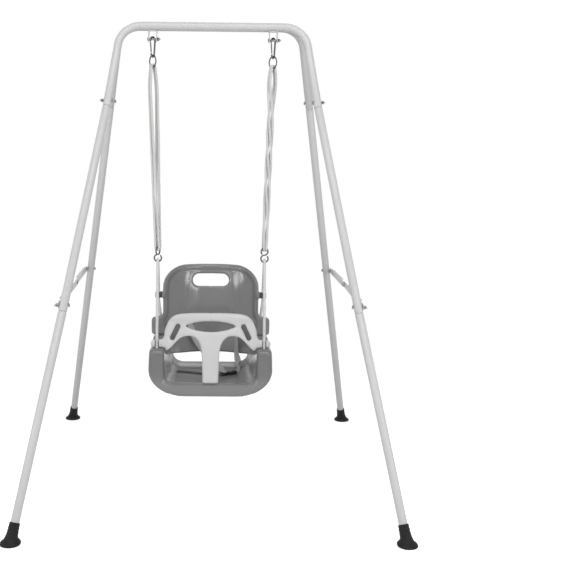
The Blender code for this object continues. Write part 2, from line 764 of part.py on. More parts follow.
# Ropes
def strand_plan(side):
    """Half sizes of the four-strand bundle and its turn, from ring (0) to hook (1)."""
    pack = UPPER_ROPE_RADIUS + STRAND_GAP / 2
    over_ring = RING_WIRE + CLEAR + UPPER_ROPE_RADIUS
    over_hook = HOOK_WIRE + CLEAR + UPPER_ROPE_RADIUS
    ring_normal = RING_TURN + math.pi / 2
    if side < 0:
        across = [(0.0, over_ring), (0.10, 0.0115), (0.45, 0.0095), (0.80, 0.0060), (1.0, pack)]
        deep = [(0.0, pack), (0.3, 0.0045), (0.8, 0.0055), (1.0, over_hook)]
        return across, deep, ring_normal, HOOK_TURN[side]
    across = [(0.0, over_ring), (0.05, 0.0115), (0.14, 0.0108), (0.26, 0.0050), (0.9, 0.0048), (1.0, pack)]
    deep = [(0.0, pack), (0.2, 0.0048), (0.9, 0.0050), (1.0, over_hook)]
    return across, deep, ring_normal, HOOK_TURN[side] + 2 * math.pi


def wire_rise(radius):
    """How far a round wire has curved away from its lowest point beside a rope."""
    beside = UPPER_ROPE_RADIUS + STRAND_GAP / 2
    return radius - math.sqrt(radius * radius - beside * beside) + 4 * CLEAR


def strand_point(side, strand, share):
    across, deep, first_turn, last_turn = strand_plan(side)
    top = Vector((side * HANGER_X, 0.0, ring_bottom() + wire_rise(RING_RADIUS)))
    bottom = Vector((side * HOOK_X, 0.0, HOOK_TOP - wire_rise(HOOK_EYE)))
    turn = first_turn + (last_turn - first_turn) * eased(share)
    u_sign = (-1, 1, 1, -1)[strand]
    v_sign = (-1, -1, 1, 1)[strand]
    u = flat_way(turn) * lookup(across, share) * u_sign
    v = flat_way(turn + math.pi / 2) * lookup(deep, share) * v_sign
    return top.lerp(bottom, share) + u + v


def bight(start, end, lift, steps=4):
    """Half turn of rope over a wire, without its two ends."""
    centre = (start + end) / 2
    spoke = start - centre
    points = []
    for k in range(1, steps):
        angle = math.pi * k / steps
        points.append(centre + spoke * math.cos(angle) + Z_AXIS * lift * spoke.length * math.sin(angle))
    return points


def make_upper_rope(word, side, paints):
    """One endless rope wound twice: four strands, two bights on the ring and two in the hook."""
    shares = [k / (UPPER_ROPE_POINTS - 1) for k in range(UPPER_ROPE_POINTS)]
    down = [[strand_point(side, strand, s) for s in shares] for strand in range(4)]
    route = list(down[0])
    route += bight(down[0][-1], down[3][-1], -1) + down[3][::-1]
    route += bight(down[3][0], down[2][0], 1) + down[2]
    route += bight(down[2][-1], down[1][-1], -1) + down[1][::-1]
    route += bight(down[1][0], down[0][0], 1)
    return add_wire(f"upper_rope_{word}", route, UPPER_ROPE_RADIUS, paints["rope"], cyclic=True)


def bight_radius():
    return HOOK_WIRE + CLEAR + LOWER_ROPE_RADIUS


def front_rope_line(side):
    """Front strand: tangent point at the hook and the place where it enters the arm."""
    enter = Vector((side * ROPE_HOLE_X, FRONT_HOLE_Y, ARM_TOP))
    centre = Vector((side * HOOK_X, 0.0, hook_bottom()))
    return tangent_point(centre, enter, -1), enter


def tangent_point(centre, target, sign):
    """Where a rope leaves the bight towards a target in front (-1) or behind (1)."""
    run = target - centre
    run.x = 0.0
    distance = run.length
    along = run / distance
    normal = Vector((0.0, -along.z, along.y)) * -sign
    if normal.y * sign < 0:
        normal = -normal
    radius = bight_radius()
    sine = radius / distance
    return centre + (along * sine + normal * math.sqrt(1 - sine * sine)) * radius


def rear_rope_corners(side):
    above_lug = Vector((side * LUG_X, LUG_Y, LUG_HEIGHT + LUG_HALF_HEIGHT + 0.008))
    below_lug = Vector((side * LUG_X, LUG_Y, LUG_HEIGHT - LUG_HALF_HEIGHT - 0.006))
    above_wing = Vector((side * ROPE_HOLE_X, REAR_HOLE_Y, WING_TOP + 0.008))
    return above_lug, below_lug, above_wing


def make_lower_rope(word, side, paints):
    """Single rope over the hook: knotted under the front and the rear of the arm."""
    centre = Vector((side * HOOK_X, 0.0, hook_bottom()))
    front_leave, front_enter = front_rope_line(side)
    front_way = (front_leave - front_enter).normalized()
    knot_drop = SEAT_WALL + CLEAR + KNOT_RADIUS + 0.002
    front_knot = front_enter - front_way * (knot_drop + 0.004)
    above_lug, below_lug, above_wing = rear_rope_corners(side)
    rear_leave = tangent_point(centre, above_lug, 1)
    rear_enter = Vector((side * ROPE_HOLE_X, REAR_HOLE_Y, ARM_TOP))
    rear_knot = rear_enter - Z_AXIS * (knot_drop + 0.004)
    start_angle = math.degrees(math.atan2(front_leave.z - centre.z, front_leave.y - centre.y))
    end_angle = math.degrees(math.atan2(rear_leave.z - centre.z, rear_leave.y - centre.y))
    if start_angle < 0:
        start_angle += 360
    over = arc_points(centre, Y_AXIS, Z_AXIS, bight_radius(), start_angle, end_angle, 6)
    lug_bend = rounded_corner(rear_leave, above_lug, below_lug, 0.018, 3)
    low_bend = [below_lug, above_wing]
    tail_front = knot_profile(front_knot, -front_way)
    tail_rear = knot_profile(rear_knot, -Z_AXIS)
    body = divided([tail_front[-1][0]] + over + lug_bend + low_bend + [tail_rear[-1][0]], 0.024)
    points = [p for p, _ in tail_front[:-1]] + body + [p for p, _ in reversed(tail_rear[:-1])]
    swell = [s for _, s in tail_front[:-1]] + [1.0] * len(body) + [s for _, s in reversed(tail_rear[:-1])]
    return add_wire(f"lower_rope_{word}", points, LOWER_ROPE_RADIUS, paints["rope"], swell=swell)


def knot_profile(centre, away):
    """Points and radius factors of a stopper knot, from its far end to the rope."""
    bulge = KNOT_RADIUS / LOWER_ROPE_RADIUS
    steps = [(0.9, 0.5), (0.75, 0.85), (0.0, 1.0), (-0.75, 0.85)]
    points = [(centre + away * KNOT_RADIUS * place, bulge * share) for place, share in steps]
    return points + [(centre - away * KNOT_RADIUS * 1.05, 1.0)]


# Seat base
def pan_height(y):
    return lookup(PAN_HEIGHTS, y)


def arm_height(y):
    """Arm top: a column at the front and at the back, and a shallow dip between them."""
    into_front = eased((y + 0.080) / 0.020)
    into_rear = 1 - eased((y - 0.038) / 0.020)
    return ARM_TOP - ARM_DIP * into_front * into_rear


def seat_half_outline(inset, pan, arm, opened):
    """Right half of the seat's section, from the bottom middle round to the pan's middle."""
    half = SEAT_HALF - inset
    top_half = SEAT_TOP_HALF - inset
    bottom = SEAT_BOTTOM + inset
    inner = ARM_INNER + inset
    floor = pan - inset
    top = arm - inset
    corner_w = SEAT_CORNER_WIDTH - inset
    corner_h = SEAT_SHOULDER - bottom
    centre_x = half - corner_w

    def corner(angle):
        a = math.radians(angle)
        return (centre_x + corner_w * math.cos(a), SEAT_SHOULDER + corner_h * math.sin(a))

    if opened:
        sine = (SEAT_OPENING - centre_x) / corner_w
        edge_z = SEAT_SHOULDER - corner_h * math.sqrt(1 - sine * sine)
        below = SEAT_BOTTOM - 0.012
        points = [(0.0, below), (SEAT_OPENING, below), (SEAT_OPENING, edge_z)]
        points += [corner(a) for a in (-48, -32, -16, 0)]
    else:
        points = [(0.0, bottom)] + [corner(a) for a in (-90, -72, -54, -36, -18, 0)]
    points += [(half - 0.001, SEAT_SHOULDER + 0.031), (top_half, top - 0.006)]
    points += [(top_half - 0.002, top - 0.0015), (top_half - 0.006, top)]
    points += [(inner + 0.006, top), (inner + 0.002, top - 0.0015), (inner, top - 0.006)]
    points += [(inner, floor + 0.018), (inner - 0.003, floor + 0.007), (inner - 0.010, floor + 0.0015)]
    points += [(inner - 0.022, floor), (0.0, floor)]
    return points


def seat_ring(y, inset, opened=False, lift=0.0):
    half = seat_half_outline(inset, pan_height(y) + lift, arm_height(y), opened)
    left = [(-x, z) for x, z in half[-2:0:-1]]
    return [Vector((x, y, z)) for x, z in half + left]


def rounded_end(y_end, inward, radius, base, opened=False):
    rings = []
    for angle in (0, 30, 60, 90):
        a = math.radians(angle)
        y = y_end + inward * radius * (1 - math.cos(a))
        rings.append(seat_ring(y, base + radius * (1 - math.sin(a)), opened))
    return rings


def make_seat_base(paints, pivot):
    stations = (-0.082, -0.060, -0.010, 0.038, 0.058)
    rings = rounded_end(SEAT_FRONT, 1, LIP_ROUND, 0.0)
    rings += [seat_ring(y, 0.0) for y in stations]
    rings += rounded_end(SEAT_REAR, -1, LIP_ROUND, 0.0)[::-1]
    shell = loft(rings)
    bmesh.ops.triangulate(shell, faces=shell.faces)
    piece = add_mesh("seat_base", shell, paints["grey_plastic"], pivot)
    hollow = [seat_ring(SEAT_FRONT + SEAT_WALL + 0.004, SEAT_WALL + 0.005, True)]
    hollow += [seat_ring(y, SEAT_WALL, True) for y in (SEAT_FRONT + LIP_ROUND,) + stations]
    hollow += [seat_ring(SEAT_REAR - LIP_ROUND, SEAT_WALL, True)]
    hollow += [seat_ring(SEAT_REAR - SEAT_WALL - 0.004, SEAT_WALL + 0.005, True)]
    combine(piece, loft(hollow))
    hole = (LOWER_ROPE_RADIUS + ROPE_PLAY) * POLYGON_REACH
    for side in (-1, 1):
        leave, enter = front_rope_line(side)
        way = (leave - enter).normalized()
        combine(piece, rod(enter - way * 0.012, enter + way * 0.008, hole))
        rear = Vector((side * ROPE_HOLE_X, REAR_HOLE_Y, ARM_TOP))
        combine(piece, rod(rear - Z_AXIS * 0.012, rear + Z_AXIS * 0.008, hole, hint=X_AXIS))
    return piece


# Bent plates: the backrest and the guard
def mirrored(half):
    """Whole outline from its right half, which starts and ends on the middle line."""
    return half + [(-x, z) for x, z in half[-2:0:-1]]


def bent_plate(outline, thickness, edge, bend, columns):
    """Plate from an (x, z) outline, edges rounded, then bent by y = bend(x, z)."""
    bm = prism([Vector((x, 0.0, z)) for x, z in outline], Y_AXIS, -thickness / 2, thickness / 2)
    rim = [e for e in bm.edges if len({round(v.co.y, 6) for v in e.verts}) == 1 and len(e.link_faces) == 2]
    bmesh.ops.bevel(bm, geom=rim, offset=edge, segments=1, profile=0.5, affect="EDGES", material=-1)
    for x in columns:
        geometry = bm.verts[:] + bm.edges[:] + bm.faces[:]
        bmesh.ops.bisect_plane(bm, geom=geometry, dist=1e-6, plane_co=(x, 0, 0), plane_no=(1, 0, 0))
    for vert in bm.verts:
        vert.co.y += bend(vert.co.x, vert.co.z)
    bmesh.ops.triangulate(bm, faces=bm.faces)
    return bm


def hole_tool(outline, y_from, y_to):
    return prism([Vector((x, 0.0, z)) for x, z in outline], Y_AXIS, y_from, y_to)


def ellipse_arc(cx, cz, rx, rz, start, end, steps):
    angles = [math.radians(start + (end - start) * k / steps) for k in range(steps + 1)]
    return [(cx + rx * math.cos(a), cz + rz * math.sin(a)) for a in angles]


def back_bend(x, z):
    share = min(1.0, abs(x) / BACK_HALF)
    height = (z - BACK_BOTTOM) / (BACK_TOP - BACK_BOTTOM)
    centre = BACK_LOW_Y + (BACK_HIGH_Y - BACK_LOW_Y) * height
    return BACK_SIDE_Y + (centre - BACK_SIDE_Y) * (1 - share * share)


def back_half_at(z):
    """Half width of the back's upper part at a height."""
    over = max(0.0, z - BACK_TOP + BACK_CORNER_HEIGHT) / BACK_CORNER_HEIGHT
    return BACK_HALF - BACK_CORNER_WIDTH * (1 - math.sqrt(max(0.0, 1 - over * over)))


def backrest_outline():
    wing_low = ARM_TOP + CLEAR
    half = [(0.0, BACK_BOTTOM + 0.003), (0.060, BACK_BOTTOM + 0.001), (0.105, BACK_BOTTOM)]
    half += ellipse_arc(BACK_LOWER_HALF - 0.014, BACK_BOTTOM + 0.014, 0.014, 0.014, -60, 0, 3)
    half += [(BACK_LOWER_HALF, wing_low - 0.006), (BACK_LOWER_HALF + 0.002, wing_low)]
    half += [(WING_HALF - 0.007, wing_low)]
    half += [(WING_HALF - 0.001, wing_low + 0.004), (WING_HALF, wing_low + 0.012)]
    half += ellipse_arc(WING_HALF - 0.012, WING_TOP - 0.012, 0.012, 0.012, 0, 90, 3)
    half += [(BACK_HALF + 0.009, WING_TOP), (BACK_HALF + 0.003, WING_TOP + 0.004), (BACK_HALF, WING_TOP + 0.016)]
    corner_x = BACK_HALF - BACK_CORNER_WIDTH
    half += ellipse_arc(corner_x, BACK_TOP - BACK_CORNER_HEIGHT, BACK_CORNER_WIDTH, BACK_CORNER_HEIGHT, 0, 90, 8)
    half += [(0.0, BACK_TOP - 0.0005)]
    return mirrored(half)


def make_backrest(paints, pivot):
    columns = [BEND_COLUMN * k for k in range(-5, 6)]
    bm = bent_plate(backrest_outline(), BACK_THICKNESS, 0.0025, back_bend, columns)
    piece = add_mesh("backrest", bm, paints["grey_plastic"], pivot)
    hole = (LOWER_ROPE_RADIUS + ROPE_PLAY) * POLYGON_REACH
    for side in (-1, 1):
        boss_low = ARM_TOP + CLEAR + BOSS_INSET
        boss = Vector((side * ROPE_HOLE_X, REAR_HOLE_Y, boss_low))
        boss_height = WING_TOP - BOSS_INSET - boss_low
        combine(piece, rod(boss, boss + Z_AXIS * boss_height, hole + 0.0035, 12, X_AXIS), "UNION")
        lug_inner = back_half_at(LUG_HEIGHT + LUG_HALF_HEIGHT) - LUG_ROOT
        lug_front = LUG_Y - LUG_HALF_DEPTH
        lug_rear = max(LUG_Y + LUG_HALF_DEPTH, back_bend(lug_inner, LUG_HEIGHT))
        lug_centre = Vector((side * (LUG_OUTER + lug_inner) / 2, (lug_front + lug_rear) / 2, LUG_HEIGHT))
        lug_size = (LUG_OUTER - lug_inner, lug_rear - lug_front, 2 * LUG_HALF_HEIGHT)
        combine(piece, block(lug_centre, lug_size), "UNION")
    for side in (-1, 1):
        low = Vector((side * ROPE_HOLE_X, REAR_HOLE_Y, ARM_TOP - 0.010))
        combine(piece, rod(low, low + Z_AXIS * 0.075, hole + 0.0002, hint=X_AXIS))
        lug = Vector((side * LUG_X, LUG_Y, LUG_HEIGHT))
        combine(piece, rod(lug - Z_AXIS * 0.014, lug + Z_AXIS * 0.014, hole, hint=X_AXIS))
    middle = (HANDLE_LOW + HANDLE_HIGH) / 2
    radius = (HANDLE_HIGH - HANDLE_LOW) / 2
    slot = ellipse_arc(HANDLE_HALF - radius, middle, radius, radius, -70, 90, 6)
    slot += ellipse_arc(-HANDLE_HALF + radius, middle, radius, radius, 90, 250, 6)
    slot += [(0.0, HANDLE_LOW - 0.001)]
    combine(piece, hole_tool(slot, 0.05, 0.22))
    combine(piece, hole_tool(ellipse_arc(0.0, STRAP_SLOT_Z, 0.0045, 0.0075, 0, 315, 7), 0.05, 0.22))
    for side in (-1, 1):
        x = side * STRAP_SLOT_X
        half_w = STRAP_SLOT_WIDTH / 2
        half_h = STRAP_WIDTH / 2 + 0.002
        corners = [(x - half_w, -half_h), (x + half_w, -half_h), (x + half_w, half_h), (x - half_w, half_h)]
        combine(piece, hole_tool([(cx, STRAP_SLOT_Z + cz) for cx, cz in corners], 0.05, 0.22))
    return piece


def guard_bend(x, z):
    share = min(1.0, abs(x) / ROPE_HOLE_X)
    lean = GUARD_LEAN * eased((ARM_TOP + 0.01 - z) / (ARM_TOP - SEAT_SHOULDER + 0.04))
    return GUARD_Y - GUARD_BULGE * (1 - share * share) + lean


def guard_outline():
    """Stem, two leg arches, ears on the arms and the raised top bar."""
    stem_low = pan_height(SEAT_FRONT + LIP_ROUND) + CLEAR
    ear_low = ARM_TOP + CLEAR
    half = [(0.0, stem_low), (0.0225, stem_low), (0.0245, 0.366), (0.0262, 0.3937), (0.0325, 0.415)]
    half += [(0.045, 0.4292), (0.062, 0.4325), (0.080, 0.4275), (0.093, 0.4165), (0.106, 0.4015)]
    half += [(0.118, 0.3895), (0.1235, 0.3875), (0.1268, 0.3900), (0.1274, ear_low)]
    half += [(0.163, ear_low), (0.1675, ear_low + 0.004), (0.168, 0.4095), (0.163, EAR_TOP)]
    half += [(0.148, 0.4170), (0.136, 0.4195), (0.130, 0.4285), (0.1265, 0.4495), (0.117, 0.4722)]
    half += [(0.105, 0.4855), (0.090, 0.4925), (0.065, 0.4965), (0.033, 0.4983), (0.0, 0.4985)]
    return mirrored(half)


def make_guard(paints, pivot):
    columns = [BEND_COLUMN * k for k in range(-5, 6)]
    bm = bent_plate(guard_outline(), GUARD_THICKNESS, 0.003, guard_bend, columns)
    piece = add_mesh("guard", bm, paints["white_plastic"], pivot)
    hole = (LOWER_ROPE_RADIUS + EAR_HOLE_PLAY) * POLYGON_REACH
    ear_low = ARM_TOP + CLEAR
    for side in (-1, 1):
        leave, enter = front_rope_line(side)
        way = (leave - enter).normalized()
        middle = enter + way * ((ear_low + EAR_TOP) / 2 - ARM_TOP) / way.z
        ear_foot = Vector((middle.x, middle.y, ear_low))
        ear = rod(ear_foot, ear_foot + Z_AXIS * (EAR_TOP - ear_low), EAR_DEPTH / 2, 16, X_AXIS)
        combine(piece, ear, "UNION")
        combine(piece, rod(enter - way * 0.01, enter + way * 0.045, hole, 10))
    combine(piece, hole_tool(oval_outline(), -0.20, -0.08))
    for side in (-1, 1):
        combine(piece, hole_tool(side_slot(side), -0.20, -0.08))
    return piece


def oval_outline():
    """Lens-shaped opening with slightly blunt ends."""
    tip = 38
    sine = math.sin(math.radians(tip))
    rz = OVAL_RISE / (1 - sine)
    rx = OVAL_HALF / math.cos(math.radians(tip))
    drop = rz * sine - OVAL_BLUNT
    upper = ellipse_arc(0.0, OVAL_Z - drop, rx, rz, tip, 180 - tip, 8)
    return upper + ellipse_arc(0.0, OVAL_Z + drop, rx, rz, 180 + tip, 360 - tip, 8)


def side_slot(side):
    """Slanted slot beside the oval opening."""
    high = Vector((0.0905, 0.459))
    low = Vector((0.1065, 0.425))
    way = (low - high).normalized()
    across = Vector((-way.y, way.x))
    radius = 0.0065
    points = []
    for centre, sign in ((high, -1), (low, 1)):
        for k in range(7):
            a = math.pi * k / 6
            offset = across * math.cos(a) * radius * -sign + way * math.sin(a) * radius * sign
            points.append(centre + offset)
    return [(side * p.x, p.y) for p in points]


# Harness
def band(points, normals, width=STRAP_WIDTH, thickness=STRAP_THICKNESS):
    """Flat strap along a path, with its face normal given at every point."""
    rings = []
    last = len(points) - 1
    for i, (point, normal) in enumerate(zip(points, normals)):
        tangent = (points[min(i + 1, last)] - points[max(i - 1, 0)]).normalized()
        face = (normal - tangent * normal.dot(tangent)).normalized()
        edge = tangent.cross(face)
        w = edge * width / 2
        t = face * thickness / 2
        rings.append([point - w - t, point + w - t, point + w + t, point - w + t])
    return loft(rings)


def buckle_frame():
    along = flat_way(BUCKLE_TURN)
    across = Z_AXIS.cross(along)
    return Matrix((along, across, Z_AXIS)).transposed()


def buckle_base():
    centre = BUCKLE_CENTRE.copy()
    centre.z = pan_height(0.0) + CLEAR + BUCKLE_HEIGHT / 2 + 0.0002
    return centre


def make_buckle(paints):
    frame = buckle_frame()
    along = frame @ X_AXIS
    mouth = buckle_base()
    socket_centre = mouth - along * SOCKET_LENGTH / 2
    socket = add_mesh(
        "buckle_socket",
        block(socket_centre, (SOCKET_LENGTH, BUCKLE_WIDTH, BUCKLE_HEIGHT), frame),
        paints["black_plastic"],
        mouth,
    )
    socket.modifiers.new("edges", "BEVEL").width = 0.0015
    pocket_depth = SOCKET_LENGTH * 0.66
    pocket = block(mouth - along * (pocket_depth / 2 - 0.001), (pocket_depth + 0.002, 0.017, 0.0045), frame)
    combine(socket, pocket)
    plug_centre = mouth + along * (PLUG_LENGTH / 2 + CLEAR)
    plug = add_mesh(
        "buckle_plug",
        block(plug_centre, (PLUG_LENGTH, BUCKLE_WIDTH * 0.94, BUCKLE_HEIGHT * 0.86), frame),
        paints["black_plastic"],
        mouth,
    )
    plug.modifiers.new("edges", "BEVEL").width = 0.0012
    tongue_length = pocket_depth - 0.002
    tongue = block(mouth - along * (tongue_length / 2 - 0.002), (tongue_length + 0.004, 0.0160, 0.0036), frame)
    combine(plug, tongue, "UNION")


def make_straps(paints, pivot):
    frame = buckle_frame()
    along = frame @ X_AXIS
    mouth = buckle_base()
    pan_top = pan_height(0.0) + CLEAR + STRAP_THICKNESS / 2
    slot_y = back_bend(STRAP_SLOT_X, STRAP_SLOT_Z)
    behind = slot_y + BACK_THICKNESS / 2 + 0.008
    before = slot_y - BACK_THICKNESS / 2 - 0.010
    plug_end = mouth + along * (PLUG_LENGTH + 2 * CLEAR + STRAP_THICKNESS / 2)
    plug_end.z = pan_top + 0.001
    rest = (STRAP_SLOT_WIDTH - STRAP_THICKNESS) / 2 - CLEAR
    x = STRAP_SLOT_X + rest
    right = [
        (Vector((x, behind, STRAP_SLOT_Z)), X_AXIS),
        (Vector((x, before, STRAP_SLOT_Z)), X_AXIS),
        (Vector((x + 0.001, before - 0.014, STRAP_SLOT_Z - 0.006)), X_AXIS),
        (Vector((x + 0.003, before - 0.021, STRAP_SLOT_Z - 0.020)), X_AXIS),
        (Vector((x + 0.006, before - 0.024, STRAP_SLOT_Z - 0.045)), X_AXIS),
        (Vector((x + 0.008, before - 0.024, STRAP_SLOT_Z - 0.080)), X_AXIS),
        (Vector((x + 0.009, before - 0.026, STRAP_SLOT_Z - 0.103)), flat_way(math.radians(-10))),
        (Vector((x + 0.012, before - 0.032, pan_top + 0.028)), flat_way(math.radians(10))),
        (Vector((x + 0.014, before - 0.041, pan_top + 0.018)), flat_way(math.radians(25))),
        (plug_end + along * 0.006 + Z_AXIS * 0.0125, along),
        (plug_end + Z_AXIS * 0.0035, along),
    ]
    add_mesh("harness_strap_right", band(*zip(*right)), paints["webbing"], pivot)
    x = -STRAP_SLOT_X - rest
    socket_top = mouth.z + BUCKLE_HEIGHT / 2 + CLEAR + STRAP_THICKNESS / 2
    socket_near = mouth - along * SOCKET_LENGTH * 0.80
    left = [
        (Vector((x, behind, STRAP_SLOT_Z)), -X_AXIS),
        (Vector((x, before, STRAP_SLOT_Z)), -X_AXIS),
        (Vector((x + 0.002, before - 0.010, STRAP_SLOT_Z - 0.003)), Vector((-1, -0.35, 0.2))),
        (Vector((x + 0.007, before - 0.018, STRAP_SLOT_Z - 0.014)), Vector((-0.8, -0.6, 0.3))),
        (Vector((x + 0.014, before - 0.022, STRAP_SLOT_Z - 0.032)), Vector((-0.4, -0.9, 0.2))),
        (Vector((x + 0.024, before - 0.022, STRAP_SLOT_Z - 0.056)), Vector((-0.2, -1, 0.1))),
        (Vector((x + 0.038, before - 0.024, STRAP_SLOT_Z - 0.078)), Vector((-0.2, -1, 0.2))),
        (Vector((x + 0.056, before - 0.032, STRAP_SLOT_Z - 0.100)), Vector((-0.2, -1, 0.5))),
        (Vector((x + 0.078, before - 0.052, socket_top + 0.018)), Vector((-0.3, -0.7, 1))),
        (Vector((socket_near.x - 0.014, 0.018, socket_top + 0.006)), Vector((-0.3, -0.4, 1))),
        (Vector((socket_near.x, socket_near.y, socket_top)), Z_AXIS),
        (Vector((socket_near.x + 0.008, socket_near.y - 0.006, socket_top)), Z_AXIS),
    ]
    add_mesh("harness_strap_left", band(*zip(*left)), paints["webbing"], pivot)
    socket_end = mouth - along * (SOCKET_LENGTH + CLEAR)
    lap = []
    for lap_x, lap_y in ((-0.098, 0.026), (-0.080, 0.023), (-0.055, 0.014), (-0.028, 0.002), (0.000, -0.012)):
        under = pan_height(lap_y + LAP_WIDTH * 0.6)
        lap.append(Vector((lap_x, lap_y, under + CLEAR + STRAP_THICKNESS)))
    lap += [
        Vector((socket_end.x, socket_end.y, pan_top + 0.0020)) - along * 0.014,
        Vector((socket_end.x, socket_end.y, pan_top + 0.0030)),
    ]
    add_mesh("lap_strap", band(lap, [Z_AXIS] * len(lap), LAP_WIDTH), paints["black_plastic"], pivot)


# The whole swing set
def make_stand(paints):
    make_top_frame(FRONT, paints)
    make_top_frame(REAR, paints)
    for word, side in SIDES.items():
        make_leg(f"front_leg_middle_{word}", FRONT, side, UPPER_SEAM, LOWER_SEAM, BAR_HEIGHT, paints)
        lower = f"front_leg_lower_{word}"
        make_leg(lower, FRONT, side, LOWER_SEAM, 0.0, UPPER_SEAM, paints, True)
        make_leg(f"rear_leg_{word}", REAR, side, REAR_SEAM, 0.0, BAR_HEIGHT, paints, True)
        make_foot(f"front_foot_{word}", FRONT, side, paints)
        make_foot(f"rear_foot_{word}", REAR, side, paints)
        add_splice_fasteners(f"front_upper_{word}", FRONT, side, UPPER_SEAM, BAR_HEIGHT, paints)
        faces = link_faces(side)
        centre = brace_front_point(side)
        way = leg_way(FRONT, side, UPPER_SEAM, LOWER_SEAM)
        reach = tube_side_reach(FRONT, side, UPPER_SEAM, LOWER_SEAM) + HEAD_RADIUS * abs(way.x)
        washer = faces["front"][0] + LINK_SHEET - abs(centre.x) - reach
        tag = f"front_lower_{word}"
        add_splice_fasteners(tag, FRONT, side, LOWER_SEAM, UPPER_SEAM, paints, washer)
        add_splice_fasteners(f"rear_upper_{word}", REAR, side, REAR_SEAM, BAR_HEIGHT, paints)
        make_brace(word, side, paints)
        make_hanger(word, side, paints)
        leg = bpy.data.objects[f"front_leg_middle_{word}"]
        cut_bolt_hole(leg, brace_front_point(side))
        cut_bolt_hole(bpy.data.objects[f"rear_leg_{word}"], brace_rear_point(side))


def make_swing(paints):
    seat_pivot = Vector((0.0, 0.0, hook_bottom()))
    for word, side in SIDES.items():
        make_carabiner(word, side, paints)
        make_ring(word, side, paints)
        make_upper_rope(word, side, paints)
        make_hook(word, side, paints)
        make_lower_rope(word, side, paints)
    make_seat_base(paints, seat_pivot)
    make_backrest(paints, seat_pivot)
    make_guard(paints, Vector((0.0, GUARD_Y, ARM_TOP)))
    make_buckle(paints)
    make_straps(paints, seat_pivot)


def main():
    for piece in list(bpy.data.objects):
        bpy.data.objects.remove(piece, do_unlink=True)
    paints = make_paints()
    make_stand(paints)
    make_swing(paints)


main()
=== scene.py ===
# Toddler swing on its folding stand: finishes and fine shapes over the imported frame
import json
import math

import bmesh
import bpy
from mathutils import Matrix, Vector
from mathutils.kdtree import KDTree


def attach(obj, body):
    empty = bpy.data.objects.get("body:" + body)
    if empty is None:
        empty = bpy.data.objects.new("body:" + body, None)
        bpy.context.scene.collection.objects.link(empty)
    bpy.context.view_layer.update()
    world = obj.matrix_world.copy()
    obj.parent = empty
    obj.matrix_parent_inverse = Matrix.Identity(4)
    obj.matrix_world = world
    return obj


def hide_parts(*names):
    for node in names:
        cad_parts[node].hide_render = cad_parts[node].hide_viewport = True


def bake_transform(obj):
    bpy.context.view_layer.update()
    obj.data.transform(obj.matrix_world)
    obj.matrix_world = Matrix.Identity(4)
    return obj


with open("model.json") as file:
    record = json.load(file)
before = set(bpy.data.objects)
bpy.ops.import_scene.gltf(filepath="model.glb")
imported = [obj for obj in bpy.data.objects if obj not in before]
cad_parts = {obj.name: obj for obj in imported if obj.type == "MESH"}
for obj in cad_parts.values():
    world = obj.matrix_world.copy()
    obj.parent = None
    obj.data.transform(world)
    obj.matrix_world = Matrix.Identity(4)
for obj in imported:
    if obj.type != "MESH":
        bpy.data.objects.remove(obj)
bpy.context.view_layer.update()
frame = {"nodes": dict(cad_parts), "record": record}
nodes = frame["nodes"]
nodeBody = {node: body for body, group in frame["record"]["behaviour"]["bodies"].items() for node in group}
nodeSlot = {part["node"]: part["material_slot"] for part in frame["record"]["subparts"]}
sides = {"left": -1, "right": 1}
right = Vector((1, 0, 0))
back = Vector((0, 1, 0))
up = Vector((0, 0, 1))
print("frame loaded", len(nodes))

# Camera at the photograph's place; the shift frames the stand left of the middle
photo = {
    "size": 573,
    "focal": 952.27,
    "middle": (220.72, 281.79),
    "place": (-0.0076, -2.7168, 0.9570),
    "turn": 0.0131,
    "tilt": -0.1429,
    "roll": 0.0099,
    "sensor": 36,
    "farthest": 60,
}


def makeCamera():
    turn, tilt, roll = photo["turn"], photo["tilt"], photo["roll"]
    ahead = Vector((math.sin(turn) * math.cos(tilt), math.cos(turn) * math.cos(tilt), math.sin(tilt)))
    level = Vector((math.cos(turn), -math.sin(turn), 0))
    above = level.cross(ahead)
    across = level * math.cos(roll) + above * math.sin(roll)
    upward = above * math.cos(roll) - level * math.sin(roll)
    lens = bpy.data.cameras.new("camera")
    lens.sensor_width = photo["sensor"]
    lens.lens = photo["focal"] / photo["size"] * photo["sensor"]
    lens.shift_x = 0.5 - photo["middle"][0] / photo["size"]
    lens.shift_y = photo["middle"][1] / photo["size"] - 0.5
    lens.clip_end = photo["farthest"]
    camera = bpy.data.objects.new("camera", lens)
    camera.matrix_world = Matrix((across, upward, -ahead)).transposed().to_4x4()
    camera.location = photo["place"]
    bpy.context.scene.collection.objects.link(camera)
    bpy.context.scene.camera = camera
    bpy.context.scene.view_settings.view_transform = "Standard"


makeCamera()


